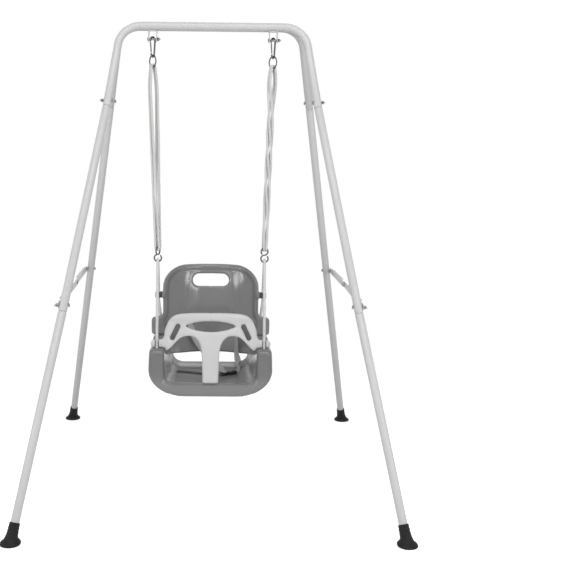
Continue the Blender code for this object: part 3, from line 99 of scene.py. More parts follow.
# A socket that adds and multiplies like a number
class Signal:
    def __init__(self, owner, socket):
        self.owner = owner
        self.socket = socket

    def join(self, operation, first, second=0.0, clamp=False):
        settings = {"operation": operation, "use_clamp": clamp}
        return self.owner.node("ShaderNodeMath", settings, {0: first, 1: second})

    def __add__(self, other):
        return self.join("ADD", self, other)

    def __radd__(self, other):
        return self.join("ADD", other, self)

    def __sub__(self, other):
        return self.join("SUBTRACT", self, other)

    def __rsub__(self, other):
        return self.join("SUBTRACT", other, self)

    def __mul__(self, other):
        return self.join("MULTIPLY", self, other)

    def __rmul__(self, other):
        return self.join("MULTIPLY", other, self)

    def __gt__(self, other):
        return self.join("GREATER_THAN", self, other)

    def __lt__(self, other):
        return self.join("LESS_THAN", self, other)

    def sine(self):
        return self.join("SINE", self)

    def plain(self):
        return self.join("ABSOLUTE", self)

    def larger(self, other):
        return self.join("MAXIMUM", self, other)

    def power(self, other):
        return self.join("POWER", self, other)

    def angle(self, other):
        return self.join("ARCTAN2", self, other)

    def limited(self):
        return self.join("ADD", self, 0.0, True)

    def ramp(self, low, high):
        settings = {"interpolation_type": "SMOOTHSTEP"}
        sockets = {"Value": self, "From Min": low, "From Max": high}
        return self.owner.node("ShaderNodeMapRange", settings, sockets)


class NodeTree:
    def __init__(self, tree):
        self.tree = tree

    def feed(self, socket, value):
        if isinstance(value, Signal):
            self.tree.links.new(value.socket, socket)
        elif socket.type == "RGBA":
            socket.default_value = (*value, 1)
        else:
            socket.default_value = value

    # any node: its settings first, then its sockets
    def node(self, kind, settings=None, sockets=None, output=0):
        made = self.tree.nodes.new(kind)
        for setting, value in (settings or {}).items():
            setattr(made, setting, value)
        for socket, value in (sockets or {}).items():
            self.feed(made.inputs[socket], value)
        return Signal(self, made.outputs[output])

    # 1 for what the camera sees directly, in a reflection or through a clear material
    def sight(self):
        seen = self.node("ShaderNodeLightPath", output="Is Camera Ray")
        for ray in ("Is Glossy Ray", "Is Transmission Ray"):
            seen = seen.larger(self.node("ShaderNodeLightPath", output=ray))
        return seen


class Finish(NodeTree):
    def __init__(self, name, look):
        self.material = bpy.data.materials.new(name)
        self.material.use_nodes = True
        super().__init__(self.material.node_tree)
        self.shader = self.tree.nodes["Principled BSDF"]
        for socket, value in look.items():
            self.feed(self.shader.inputs[socket], value)
        self.place = self.node("ShaderNodeTexCoord", output="Object")

    def noise(self, scale, detail=2.0, stretch=None, distortion=0.0):
        place = self.place
        if stretch:
            place = self.node("ShaderNodeMapping", None, {"Vector": place, "Scale": stretch})
        sockets = {"Vector": place, "Scale": scale, "Detail": detail, "Distortion": distortion}
        return self.node("ShaderNodeTexNoise", None, sockets)

    def attribute(self, name):
        return self.node("ShaderNodeAttribute", {"attribute_name": name}, output="Fac")

    def mixed(self, amount, first, second):
        return self.node("ShaderNodeMix", {"data_type": "RGBA"}, {0: amount, 6: first, 7: second}, output=2)

    def tint(self, amount, first, second):
        self.feed(self.shader.inputs["Base Color"], self.mixed(amount, first, second))

    def dull(self, amount, low, high):
        self.feed(self.shader.inputs["Roughness"], amount * (high - low) + low)

    def relief(self, height, distance, strength=1.0):
        sockets = {"Height": height, "Distance": distance, "Strength": strength}
        self.feed(self.shader.inputs["Normal"], self.node("ShaderNodeBump", None, sockets))


# Finishes, each with its dictionary: colours are linear, and a noise is given by its scale and detail.
# Clouds blend the tints, gloss moves between the two levels of rough, and the relief is the grain's.
coatLook = {
    "shader": {"Base Color": (0.57, 0.57, 0.577), "Roughness": 0.36},
    "tints": ((0.555, 0.555, 0.562), (0.595, 0.595, 0.601)),
    "clouds": (7.0, 3.0),
    "gloss": (12.0, 2.0),
    "rough": (0.34, 0.42),
    "grain": (900.0, 1.0),
    "relief": (0.0001, 0.10),
}
guardLook = {
    "shader": {"Base Color": (0.60, 0.60, 0.604), "Roughness": 0.42},
    "tints": ((0.575, 0.575, 0.579), (0.62, 0.62, 0.624)),
    "clouds": (14.0, 2.0),
    "gloss": (60.0, 2.0),
    "rough": (0.36, 0.50),
    "grain": (1300.0, 2.0),
    "relief": (0.0003, 0.5),
}
buckleLook = {
    "shader": {"Base Color": (0.012, 0.012, 0.013), "Roughness": 0.38},
    "tints": ((0.010, 0.010, 0.011), (0.018, 0.018, 0.019)),
    "clouds": (80.0, 2.0),
    "gloss": (150.0, 2.0),
    "rough": (0.30, 0.45),
    "grain": (1400.0, 2.0),
    "relief": (0.0002, 0.4),
}
rubberLook = {
    "shader": {"Base Color": (0.008, 0.008, 0.009), "Roughness": 0.6, "Specular IOR Level": 0.2},
    "tints": ((0.007, 0.007, 0.008), (0.020, 0.020, 0.021)),
    "clouds": (70.0, 3.0),
    "dust": 3.0,
    "gloss": (120.0, 2.0),
    "rough": (0.45, 0.68),
    "grain": (600.0, 2.0),
    "relief": (0.0003, 0.4),
}


# powder coat, moulded plastic or rubber; dust keeps the second tint to the clouds' thickest places
def makeSurface(name, look):
    finish = Finish(name, look["shader"])
    clouds = finish.noise(*look["clouds"])
    if "dust" in look:
        clouds = clouds.power(look["dust"])
    finish.tint(clouds, *look["tints"])
    finish.dull(finish.noise(*look["gloss"]), *look["rough"])
    finish.relief(finish.noise(*look["grain"]), *look["relief"])
    return finish.material


# The seat's moulded plastic: dark lugs, painted light on the inner walls and rear rim, painted shade on the
# arm fronts, and a duller pan
seatLook = {
    "shader": {"Base Color": (0.17, 0.17, 0.172), "Roughness": 0.10},
    "tints": ((0.192, 0.192, 0.194), (0.216, 0.216, 0.218)),
    # painted light: a lighter colour for the inner walls and rear rim, standing in for light and reflection
    # there
    "paintedLight": (0.360, 0.360, 0.362),
    # painted shade: a darker colour for the fronts of the arms
    "paintedArmShade": (0.160, 0.160, 0.162),
    "lug": (0.045, 0.045, 0.047),
    "flow": (9.0, 2.0),
    "flowDistortion": 0.6,
    "gloss": (30.0, 2.0),
    "rough": 0.09,
    "roughAdded": {"gloss": 0.05, "pan": 0.26, "paintedLight": 0.12},
    "grain": (26.0, 1.0),
    "relief": (0.0010, 0.14),
}
# where these zones begin and end; X is counted from the middle to both sides
seatZones = {
    "lugX": 0.1445,
    "lugZ": (0.500, 0.532),
    "wallX": (0.098, 0.108),
    "wallEndX": (0.1275, 0.1295),
    "rimY": (0.076, 0.082),
    "paintedLightY": (-0.115, -0.095),
    "paintedLightEndY": (0.092, 0.096),
    "paintedLightZ": 0.290,
    "paintedLightEndZ": (0.335, 0.375),
    "armX": (0.122, 0.134),
    "armZ": (0.295, 0.325),
    "armEndY": (-0.132, -0.118),
    "armEndZ": 0.42,
    "panEndX": (0.096, 0.108),
    "panY": (-0.126, -0.105),
    "panZ": (0.285, 0.300),
}


def makeSeatPlastic():
    finish = Finish("seatPlastic", seatLook["shader"])
    place = {"Vector": finish.place}
    x, y, z = (finish.node("ShaderNodeSeparateXYZ", None, place, output=i) for i in range(3))
    side = x.plain()
    zone = seatZones
    lug = (side > zone["lugX"]) * (z > zone["lugZ"][0]) * (z < zone["lugZ"][1])
    # painted light: the mask of the inner walls and rear rim that are coloured lighter
    paintedLight = side.ramp(*zone["wallX"]).larger(y.ramp(*zone["rimY"])) * (1 - side.ramp(*zone["wallEndX"]))
    paintedLight = paintedLight * y.ramp(*zone["paintedLightY"]) * (1 - y.ramp(*zone["paintedLightEndY"]))
    paintedLight = paintedLight * (z > zone["paintedLightZ"]) * (1 - z.ramp(*zone["paintedLightEndZ"]))
    # painted shade: the mask of the arm fronts that are coloured darker
    paintedArmShade = side.ramp(*zone["armX"]) * (1 - y.ramp(*zone["armEndY"]))
    paintedArmShade = paintedArmShade * z.ramp(*zone["armZ"]) * (z < zone["armEndZ"])
    pan = (1 - side.ramp(*zone["panEndX"])) * y.ramp(*zone["panY"])
    pan = pan * (z > zone["panZ"][0]) * (z < zone["panZ"][1])
    flow = finish.noise(*seatLook["flow"], distortion=seatLook["flowDistortion"])
    paint = finish.mixed(flow, *seatLook["tints"])
    # painted light: the inner walls and rear rim take the lighter colour
    paint = finish.mixed(paintedLight, paint, seatLook["paintedLight"])
    # painted shade: the arm fronts take the darker colour
    paint = finish.mixed(paintedArmShade, paint, seatLook["paintedArmShade"])
    finish.tint(lug, paint, seatLook["lug"])
    added = seatLook["roughAdded"]
    rough = finish.noise(*seatLook["gloss"]) * added["gloss"] + pan * added["pan"] + paintedLight * added["paintedLight"]
    finish.feed(finish.shader.inputs["Roughness"], rough + seatLook["rough"])
    finish.relief(finish.noise(*seatLook["grain"]), *seatLook["relief"])
    return finish.material


# Rope: a braid of two sets of yarns that wind round it against each other, with painted shade in the grooves
# between the yarns
ropeLook = {
    "shader": {"Base Color": (0.74, 0.74, 0.73), "Roughness": 0.85, "Sheen Weight": 0.25},
    "tints": ((0.82, 0.82, 0.81), (0.66, 0.66, 0.65)),
    "yarns": 6.0,
    "yarnTurns": 2400.0,
    "grooveShadeShare": 0.75,
    "clouds": (60.0, 2.0),
    "fuzz": (1500.0, 2.0),
    "rough": (0.75, 0.95),
    "relief": (0.0006, 0.8),
}


def makeBraid():
    finish = Finish("ropeBraid", ropeLook["shader"])
    turn = finish.attribute("aroundSine").angle(finish.attribute("aroundCosine")) * ropeLook["yarns"]
    along = finish.attribute("along") * ropeLook["yarnTurns"]
    lattice = (turn + along).sine().larger((turn - along).sine())
    fuzz = finish.noise(*ropeLook["fuzz"])
    # painted shade: darker colour in the grooves between the yarns
    depth = (1 - lattice).limited() * ropeLook["grooveShadeShare"]
    shade = (depth + finish.noise(*ropeLook["clouds"]) * (1 - ropeLook["grooveShadeShare"])).limited()
    finish.tint(shade, *ropeLook["tints"])
    finish.relief(lattice * 0.8 + fuzz * 0.25, *ropeLook["relief"])
    finish.dull(fuzz, *ropeLook["rough"])
    return finish.material


# Flat woven straps: ribs across, selvedge along both edges, a row of stitches near each edge
webbingLook = {
    "shader": {"Base Color": (0.47, 0.47, 0.47), "Roughness": 0.7, "Sheen Weight": 0.2},
    "tints": ((0.56, 0.56, 0.56), (0.34, 0.34, 0.34)),
}
darkWebbingLook = {
    "shader": {"Base Color": (0.02, 0.02, 0.021), "Roughness": 0.75, "Sheen Weight": 0.15},
    "tints": ((0.100, 0.100, 0.101), (0.060, 0.060, 0.061)),
}
weave = {
    "ribs": 3600.0,
    "yarns": 26.0,
    "selvedge": 0.86,
    "stitchRow": 0.72,
    "stitchWidth": 0.035,
    "stitches": 1250.0,
    "stitchGap": -0.2,
    "clouds": (250.0, 2.0),
    "gloss": (400.0, 2.0),
    "roughSpread": (-0.08, 0.1),
    "relief": (0.0003, 0.8),
}


def makeWebbing(name, look):
    finish = Finish(name, look["shader"])
    along = finish.attribute("along")
    across = finish.attribute("across")
    ribs = (along * weave["ribs"]).sine() * (across * weave["yarns"]).sine()
    edge = across.plain() > weave["selvedge"]
    stitchRow = (across.plain() - weave["stitchRow"]).plain() < weave["stitchWidth"]
    thread = stitchRow * ((along * weave["stitches"]).sine() > weave["stitchGap"]) * (1 - edge)
    shade = (ribs * 0.25 + 0.5 + finish.noise(*weave["clouds"]) * 0.3 - thread * 0.5).limited()
    finish.tint(shade, *look["tints"])
    finish.relief(ribs * 0.5 + edge * 0.5 + thread * 0.8, *weave["relief"])
    levels = [look["shader"]["Roughness"] + change for change in weave["roughSpread"]]
    finish.dull(finish.noise(*weave["gloss"]), *levels)
    return finish.material


# Metals: cloudy plating with fine scratches drawn out along Z
zincLook = {
    "shader": {"Base Color": (0.30, 0.30, 0.31), "Roughness": 0.34, "Metallic": 1.0},
    "tints": ((0.22, 0.22, 0.23), (0.36, 0.36, 0.37)),
    "scratches": (900.0, 2.0),
}
steelLook = {
    "shader": {"Base Color": (0.13, 0.13, 0.135), "Roughness": 0.24, "Metallic": 1.0},
    "tints": ((0.085, 0.085, 0.088), (0.18, 0.18, 0.184)),
    "scratches": (1100.0, 2.0),
}
plating = {
    "clouds": (110.0, 3.0),
    "stretch": (1.0, 1.0, 0.12),
    "roughSpread": (-0.08, 0.12),
    "relief": (0.0001, 0.3),
}


def makeMetal(name, look):
    finish = Finish(name, look["shader"])
    finish.tint(finish.noise(*plating["clouds"]), *look["tints"])
    scratches = finish.noise(*look["scratches"], stretch=plating["stretch"])
    finish.dull(scratches, *[look["shader"]["Roughness"] + change for change in plating["roughSpread"]])
    finish.relief(scratches, *plating["relief"])
    return finish.material


slotFinish = {
    "frame_coat": makeSurface("powderCoat", coatLook),
    "zinc": makeMetal("zincPlate", zincLook),
    "steel": makeMetal("darkSteel", steelLook),
    "foot_rubber": makeSurface("blackRubber", rubberLook),
    "seat_plastic": makeSeatPlastic(),
    "guard_plastic": makeSurface("guardPlastic", guardLook),
    "rope": makeBraid(),
    "webbing": makeWebbing("greyWebbing", webbingLook),
    "dark_webbing": makeWebbing("darkWebbing", darkWebbingLook),
    "buckle_plastic": makeSurface("buckleBlack", buckleLook),
}
for name, node in nodes.items():
    node.data.materials.clear()
    node.data.materials.append(slotFinish[nodeSlot[name]])
print("finishes made", len(slotFinish))


# A piece replaces the node it stands for and rides on that node's body; a piece given a bend is left
# unparented where it is placed
def addMesh(name, mesh, replaced, smoothAngle=None, bend=None):
    mesh.shade_smooth()
    if smoothAngle:
        mesh.set_sharp_from_angle(angle=math.radians(smoothAngle))
    slot = nodeSlot[replaced]
    mesh.materials.clear()
    mesh.materials.append(slotFinish[slot])
    piece = bpy.data.objects.new(name, mesh)
    bpy.context.scene.collection.objects.link(piece)
    if bend:
        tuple(bend["start"])
        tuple(bend["end"])
        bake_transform(piece)
    else:
        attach(piece, nodeBody[replaced])
    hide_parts(replaced)


def meshOf(name, bm):
    mesh = bpy.data.meshes.new(name)
    bm.to_mesh(mesh)
    bm.free()
    return mesh


def addPiece(name, bm, replaced, smoothAngle=None, bend=None):
    addMesh(name, meshOf(name, bm), replaced, smoothAngle, bend)


# a piece that is named after its node
def refine(node, bm, smoothAngle=None):
    addPiece("fine_" + node, bm, node, smoothAngle)


# one skin from a grid: the shape gets 0 to 1 around and 0 to 1 along
def skin(around, along, shape, capped=True, marks=None):
    bm = bmesh.new()
    bmesh.ops.create_grid(bm, x_segments=around, y_segments=along, size=1.0)
    layers = {mark: bm.verts.layers.float.new(mark) for mark in (marks or {})}
    for vert in bm.verts:
        u = (vert.co.x + 1) / 2
        v = (vert.co.y + 1) / 2
        vert.co = shape(u, v)
        for mark, layer in layers.items():
            vert[layer] = marks[mark](u, v)
    bmesh.ops.remove_doubles(bm, verts=bm.verts, dist=1e-6)
    if capped:
        rim = [edge for edge in bm.edges if edge.is_boundary]
        bmesh.ops.holes_fill(bm, edges=rim, sides=0)
    bmesh.ops.recalc_face_normals(bm, faces=bm.faces)
    return bm


# a path's points, evenly spaced on a smooth curve
def smoothPath(points, step, closed=False):
    count = len(points)
    spans = count if closed else count - 1
    fine = []
    for i in range(spans):
        p0 = points[(i - 1) % count] if closed or i > 0 else points[0]
        p1 = points[i]
        p2 = points[(i + 1) % count]
        p3 = points[(i + 2) % count] if closed or i + 2 < count else points[-1]
        cuts = max(1, round((p2 - p1).length / step))
        for k in range(cuts):
            t = k / cuts
            a = p1 * 2 + (p2 - p0) * t
            b = (p0 * 2 - p1 * 5 + p2 * 4 - p3) * t * t
            c = (p1 * 3 - p0 - p2 * 3 + p3) * t * t * t
            fine.append((a + b + c) / 2)
    return fine if closed else fine + [points[-1]]


def pathFrames(path, hint, closed=False):
    frames = []
    count = len(path)
    length = 0.0
    for i, point in enumerate(path):
        ahead = path[(i + 1) % count] if closed or i + 1 < count else point
        behind = path[i - 1] if closed or i > 0 else point
        tangent = (ahead - behind).normalized()
        hint = (hint - tangent * hint.dot(tangent)).normalized()
        if i > 0:
            length += (point - path[i - 1]).length
        frames.append([point, hint, tangent.cross(hint), length])
    return frames


# a closed path's frames, turned back evenly so that the last one meets the first
def closeFrames(path, frames):
    start, normal, side, _ = frames[0]
    tangent = (path[1] - path[-1]).normalized()
    carried = frames[-1][1]
    carried = (carried - tangent * carried.dot(tangent)).normalized()
    slip = math.atan2(carried.dot(side), carried.dot(normal))
    closed = []
    for i, (point, n, b, length) in enumerate(frames):
        cosine, sine = math.cos(slip * i / len(frames)), math.sin(slip * i / len(frames))
        closed.append([point, n * cosine - b * sine, b * cosine + n * sine, length])
    return closed + [[start, normal, side, frames[-1][3] + (path[0] - path[-1]).length]]


# round tube or rope along a path, with a radius for each point
def tube(path, radii, hint, around, closed=False):
    frames = pathFrames(path, hint, closed)
    if closed:
        frames = closeFrames(path, frames)
        radii = radii + [radii[0]]
    last = len(frames) - 1

    def shape(u, v):
        i = round(v * last)
        point, n, b, _ = frames[i]
        angle = 2 * math.pi * u
        return point + (n * math.cos(angle) + b * math.sin(angle)) * radii[i]

    marks = {
        "aroundCosine": lambda u, v: math.cos(2 * math.pi * u),
        "aroundSine": lambda u, v: math.sin(2 * math.pi * u),
        "along": lambda u, v: frames[round(v * last)][3],
    }
    return skin(around, last, shape, not closed, marks)


# the value between a table's rows
def lookup(table, key):
    rows = sorted(table)
    if key <= rows[0][0]:
        return rows[0][1]
    for (keyA, valueA), (keyB, valueB) in zip(rows, rows[1:]):
        if key <= keyB:
            return valueA + (valueB - valueA) * (key - keyA) / (keyB - keyA)
    return rows[-1][1]


def eased(t):
    t = min(1.0, max(0.0, t))
    return t * t * (3 - 2 * t)


def sweep(start, end, steps):
    return [math.radians(start + (end - start) * k / steps) for k in range(steps + 1)]


def arcPoints(centre, first, second, radius, start, end, steps):
    return [centre + (first * math.cos(a) + second * math.sin(a)) * radius for a in sweep(start, end, steps)]


def roundedCorner(before, corner, after, radius, steps):
    backWay = (before - corner).normalized()
    onward = (after - corner).normalized()
    turn = math.pi - backWay.angle(onward)
    reach = radius * math.tan(turn / 2)
    start = corner + backWay * reach
    end = corner + onward * reach
    centre = corner + (backWay + onward).normalized() * radius / math.cos(turn / 2)
    axis = (start - centre).cross(end - centre).normalized()
    return [centre + Matrix.Rotation(turn * k / steps, 3, axis) @ (start - centre) for k in range(steps + 1)]


def roundEdges(bm, angle, width, segments):
    sharp = [edge for edge in bm.edges if edge.calc_face_angle(0) > math.radians(angle)]
    settings = {"offset": width, "segments": segments, "profile": 0.5, "affect": "EDGES", "material": -1}
    bmesh.ops.bevel(bm, geom=sharp, clamp_overlap=True, **settings)


# Stand tubes; halves gives heights on a leg and its distance from the middle there
stand = {
    "barHeight": 1.280,
    "radius": 0.011,
    "bend": 0.065,
    "bendSteps": 20,
    "around": 32,
    "upperSeam": 1.0575,
    "rearSeam": 1.0635,
    "lowerSeam": 0.532,
    "footEnd": 0.0103,
    "neckRadius": 0.00912,
    "neckLength": 0.045,
    "shoulder": 0.002,
    "crest": 0.0001,
    "gap": 0.0003,
    "lip": 0.0005,
    # places along a lip and what is taken off the radius there, as shares of the lip
    "lipShape": [(0.0, 1.0), (0.4, 0.35), (1.0, 0.0)],
    "smoothAngle": 35,
}
bar, upper, lower, rear = (stand[key] for key in ("barHeight", "upperSeam", "lowerSeam", "rearSeam"))
frontHalf = {
    "barY": -0.0125,
    "footY": -0.5325,
    "shift": 0.0,
    "halves": [(bar, 0.253), (upper, 0.2857), (lower, 0.3795), (0.0, 0.480)],
}
rearHalf = {"barY": 0.013, "footY": 0.5325, "shift": -0.0069, "halves": [(bar, 0.2528), (0.0, 0.4728)]}


def legPoint(half, side, height):
    drop = 1 - height / stand["barHeight"]
    y = half["barY"] + (half["footY"] - half["barY"]) * drop
    return Vector((half["shift"] + side * lookup(half["halves"], height), y, height))


# straight run with its stations close together at both ends, where the lips are
def lippedRun(start, end, radius):
    way = (end - start).normalized()
    lip, shape = stand["lip"], stand["lipShape"]
    path = [start + way * lip * along for along, _ in shape]
    path += [end - way * lip * along for along, _ in reversed(shape)]
    radii = [radius - lip * off for _, off in shape]
    return path, radii + radii[::-1]


def makeTopFrame(name, half, seam):
    leftCorner, rightCorner = (legPoint(half, side, stand["barHeight"]) for side in (-1, 1))
    leftEnd, rightEnd = (legPoint(half, side, seam) for side in (-1, 1))
    path = roundedCorner(leftEnd, leftCorner, rightCorner, stand["bend"], stand["bendSteps"])
    path += roundedCorner(leftCorner, rightCorner, rightEnd, stand["bend"], stand["bendSteps"])
    leftPath, leftRadii = lippedRun(leftEnd, path[0], stand["radius"])
    rightPath, rightRadii = lippedRun(path[-1], rightEnd, stand["radius"])
    radii = leftRadii[:4] + [stand["radius"]] * len(path) + rightRadii[3:]
    whole = tube(leftPath[:4] + path + rightPath[3:], radii, back, stand["around"])
    refine(name, whole, stand["smoothAngle"])


# a leg tube with a swaged neck that sits in the tube above
def makeLeg(name, half, side, top, bottom, above, footEnd=0.0):
    seam = legPoint(half, side, top)
    neckWay = (legPoint(half, side, above) - seam).normalized()
    way = (seam - legPoint(half, side, bottom)).normalized()
    lowEnd = legPoint(half, side, bottom) + way * footEnd
    start = seam - way * (stand["gap"] + stand["shoulder"])
    runPath, runRadii = lippedRun(start, lowEnd, stand["radius"])
    neckEnds = [seam + neckWay * stand["neckLength"], seam - way * stand["gap"]]
    path = neckEnds + [start - way * stand["crest"]] + runPath[2:]
    radii = [stand["neckRadius"]] * 2 + [stand["radius"] - 2 * stand["crest"]] + runRadii[2:]
    refine(name, tube(path, radii, back, stand["around"]), stand["smoothAngle"])


makeTopFrame("front_top_frame", frontHalf, upper)
makeTopFrame("rear_top_frame", rearHalf, rear)
for word, side in sides.items():
    makeLeg("front_leg_middle_" + word, frontHalf, side, upper, lower, bar)
    makeLeg("front_leg_lower_" + word, frontHalf, side, lower, 0.0, upper, stand["footEnd"])
    makeLeg("rear_leg_" + word, rearHalf, side, rear, 0.0, bar, stand["footEnd"])
print("tubes made")

# Rubber feet: a disc on the floor, a waist and a sleeve with two grooves
foot = {
    "radius": 0.0255,
    # height above the floor, and share of the radius
    "disc": [
        (0.0, 0.90), (0.0008, 0.975), (0.002, 1.0), (0.0045, 0.995),
        (0.0065, 0.95), (0.0088, 0.85), (0.0115, 0.72),
    ],
    # distance along the leg, and radius
    "sleeve": [
        (0.017, 0.0158), (0.022, 0.0145), (0.027, 0.0140),
        (0.0335, 0.0137), (0.0345, 0.0130), (0.0355, 0.0130), (0.0365, 0.0136),
        (0.0415, 0.0134), (0.0425, 0.0128), (0.0435, 0.0128), (0.0445, 0.0133),
        (0.0505, 0.0129), (0.0518, 0.0125), (0.0520, 0.0118),
    ],
    "around": 40,
    "smoothAngle": 50,
}


def makeFoot(name, half, side, top):
    ground = legPoint(half, side, 0.0)
    way = (legPoint(half, side, top) - ground).normalized()
    rings = []
    for height, share in foot["disc"]:
        centre = ground + way * height
        centre.z = height
        rings.append((centre, up, foot["radius"] * share))
    rings += [(ground + way * distance, way, radius) for distance, radius in foot["sleeve"]]

    def shape(u, v):
        centre, axis, radius = rings[round(v * (len(rings) - 1))]
        ahead = (back - axis * back.dot(axis)).normalized()
        angle = 2 * math.pi * u
        return centre + (ahead * math.cos(angle) + axis.cross(ahead) * math.sin(angle)) * radius

    refine(name, skin(foot["around"], len(rings) - 1, shape), foot["smoothAngle"])


for word, side in sides.items():
    makeFoot("front_foot_" + word, frontHalf, side, stand["lowerSeam"])
    makeFoot("rear_foot_" + word, rearHalf, side, stand["rearSeam"])
print("feet made")

# Brackets, links and fasteners keep the CAD's shapes, with edges rounded by these widths
edgeWidths = {
    "hanger_bracket": 0.0005,
    "brace_link": 0.0004,
    "brace_pivot": 0.0004,
    "bolt": 0.0005,
    "nut": 0.0005,
}


def roundedCopy(name, width):
    bm = bmesh.new()
    bm.from_mesh(nodes[name].data)
    bmesh.ops.remove_doubles(bm, verts=bm.verts, dist=1e-6)
    bmesh.ops.dissolve_limit(bm, angle_limit=math.radians(1), verts=bm.verts, edges=bm.edges)
    roundEdges(bm, 28, width, 2)
    refine(name, bm, 40)


for name in sorted(nodes):
    width = next((width for kind, width in edgeWidths.items() if kind in name), None)
    if width:
        roundedCopy(name, width)
print("fasteners made")

# Snap hooks, rings and S-hooks, bent from round wire
hardware = {
    "hangerX": 0.1676,
    "boltHeight": 1.2455,
    "boltRadius": 0.003,
    "gap": 0.0003,
    "carabinerWire": 0.0025,
    "carabinerHeight": 0.059,
    "carabinerTop": 0.0098,
    "carabinerBottom": 0.0062,
    "carabinerTurn": math.radians(53),
    "noseDrop": 0.003,
    "hingeRise": 0.004,
    "gateWire": 0.0019,
    "gateTopGap": 0.0008,
    "gateLowGap": 0.0015,
    # share of the gate's length, and share of its wire's radius
    "gate": [
        (0.0, 0.7), (0.04, 1.0), (0.10, 1.0), (0.13, 0.8), (0.16, 1.0),
        (0.86, 1.0), (0.90, 0.82), (0.96, 0.95), (1.0, 0.6),
    ],
    "ringRadius": 0.0164,
    "ringWire": 0.0019,
    "ringTurn": math.radians(-55),
    "hookWire": 0.00225,
    "hookEye": 0.01025,
    "hookTop": 0.6648,
    "hookX": 0.153,
    "hookTurn": {-1: math.radians(60), 1: math.radians(15)},
    "hookTwist": 0.008,
    "hookGap": 42,  # degrees that each eye stays open
    # where a wire's end starts to round off and how thick it is at its tip, as shares of its radius
    "wireEnd": (0.4, 0.55),
    "smoothAngle": 50,
}
carabinerTopZ = hardware["boltHeight"] + hardware["boltRadius"] + hardware["gap"] + hardware["carabinerWire"]
carabinerLowZ = carabinerTopZ - hardware["carabinerHeight"] + 2 * hardware["carabinerWire"]
ringTopZ = carabinerLowZ + hardware["carabinerWire"] + hardware["gap"] + hardware["ringWire"]
ringCentreZ = ringTopZ - hardware["ringRadius"]
ringLowZ = ringCentreZ - hardware["ringRadius"]
hookWaistZ = hardware["hookTop"] - 2 * hardware["hookEye"]
hookLowZ = hardware["hookTop"] - 4 * hardware["hookEye"]


def flatWay(turn):
    return Vector((math.cos(turn), math.sin(turn), 0.0))


# wire whose two ends are rounded off
def roundEnds(path, radius):
    run, tip = hardware["wireEnd"]
    start = path[0] + (path[1] - path[0]).normalized() * radius * run
    end = path[-1] + (path[-2] - path[-1]).normalized() * radius * run
    radii = [radius * tip] + [radius] * len(path) + [radius * tip]
    return [path[0], start] + path[1:-1] + [end, path[-1]], radii


def makeCarabiner(word, side):
    across = flatWay(hardware["carabinerTurn"])
    topBend, lowBend = hardware["carabinerTop"], hardware["carabinerBottom"]
    top = Vector((side * hardware["hangerX"], 0.0, carabinerTopZ - topBend))
    low = Vector((side * hardware["hangerX"], 0.0, carabinerLowZ + lowBend))
    nose = top - across * topBend - up * hardware["noseDrop"]
    hinge = low - across * lowBend + up * hardware["hingeRise"]
    upper = arcPoints(top, across, up, topBend, 180, 0, 28)
    lower = arcPoints(low, across, up, lowBend, 0, -180, 22)
    path, radii = roundEnds([nose] + upper + lower + [hinge], hardware["carabinerWire"])
    refine("carabiner_" + word, tube(path, radii, across.cross(up), 18), hardware["smoothAngle"])
    way = (hinge - nose).normalized()
    start = nose + way * hardware["gateTopGap"]
    end = hinge - way * hardware["gateLowGap"]
    gatePath = [start.lerp(end, share) for share, _ in hardware["gate"]]
    gateRadii = [hardware["gateWire"] * size for _, size in hardware["gate"]]
    refine("carabiner_gate_" + word, tube(gatePath, gateRadii, across, 16), hardware["smoothAngle"])


def makeRing(word, side):
    centre = Vector((side * hardware["hangerX"], 0.0, ringCentreZ))
    across = flatWay(hardware["ringTurn"])
    loop = arcPoints(centre, across, up, hardware["ringRadius"], 0, 360, 56)[:-1]
    refine("ring_" + word, tube(loop, [hardware["ringWire"]] * len(loop), across.cross(up), 16, closed=True))


# two open eyes, the upper one turned against the lower one
def makeHook(word, side):
    waist = Vector((side * hardware["hookX"], 0.0, hookWaistZ))
    eye, gap, twist = hardware["hookEye"], hardware["hookGap"], hardware["hookTwist"]
    upper = arcPoints(waist + up * eye, -right, up, eye, -450 + gap, -90, 36)
    lower = arcPoints(waist - up * eye, right, up, eye, 90, 450 - gap, 36)[1:]
    path = []
    for point in upper + lower:
        offset = point - waist
        share = eased(offset.z / twist + 0.5)
        path.append(waist + Matrix.Rotation(hardware["hookTurn"][side] * share, 3, "Z") @ offset)
    path, radii = roundEnds(path, hardware["hookWire"])
    refine("lower_hook_" + word, tube(path, radii, back, 16), hardware["smoothAngle"])


for word, side in sides.items():
    makeCarabiner(word, side)
    makeRing(word, side)
    makeHook(word, side)
print("hooks and rings made")

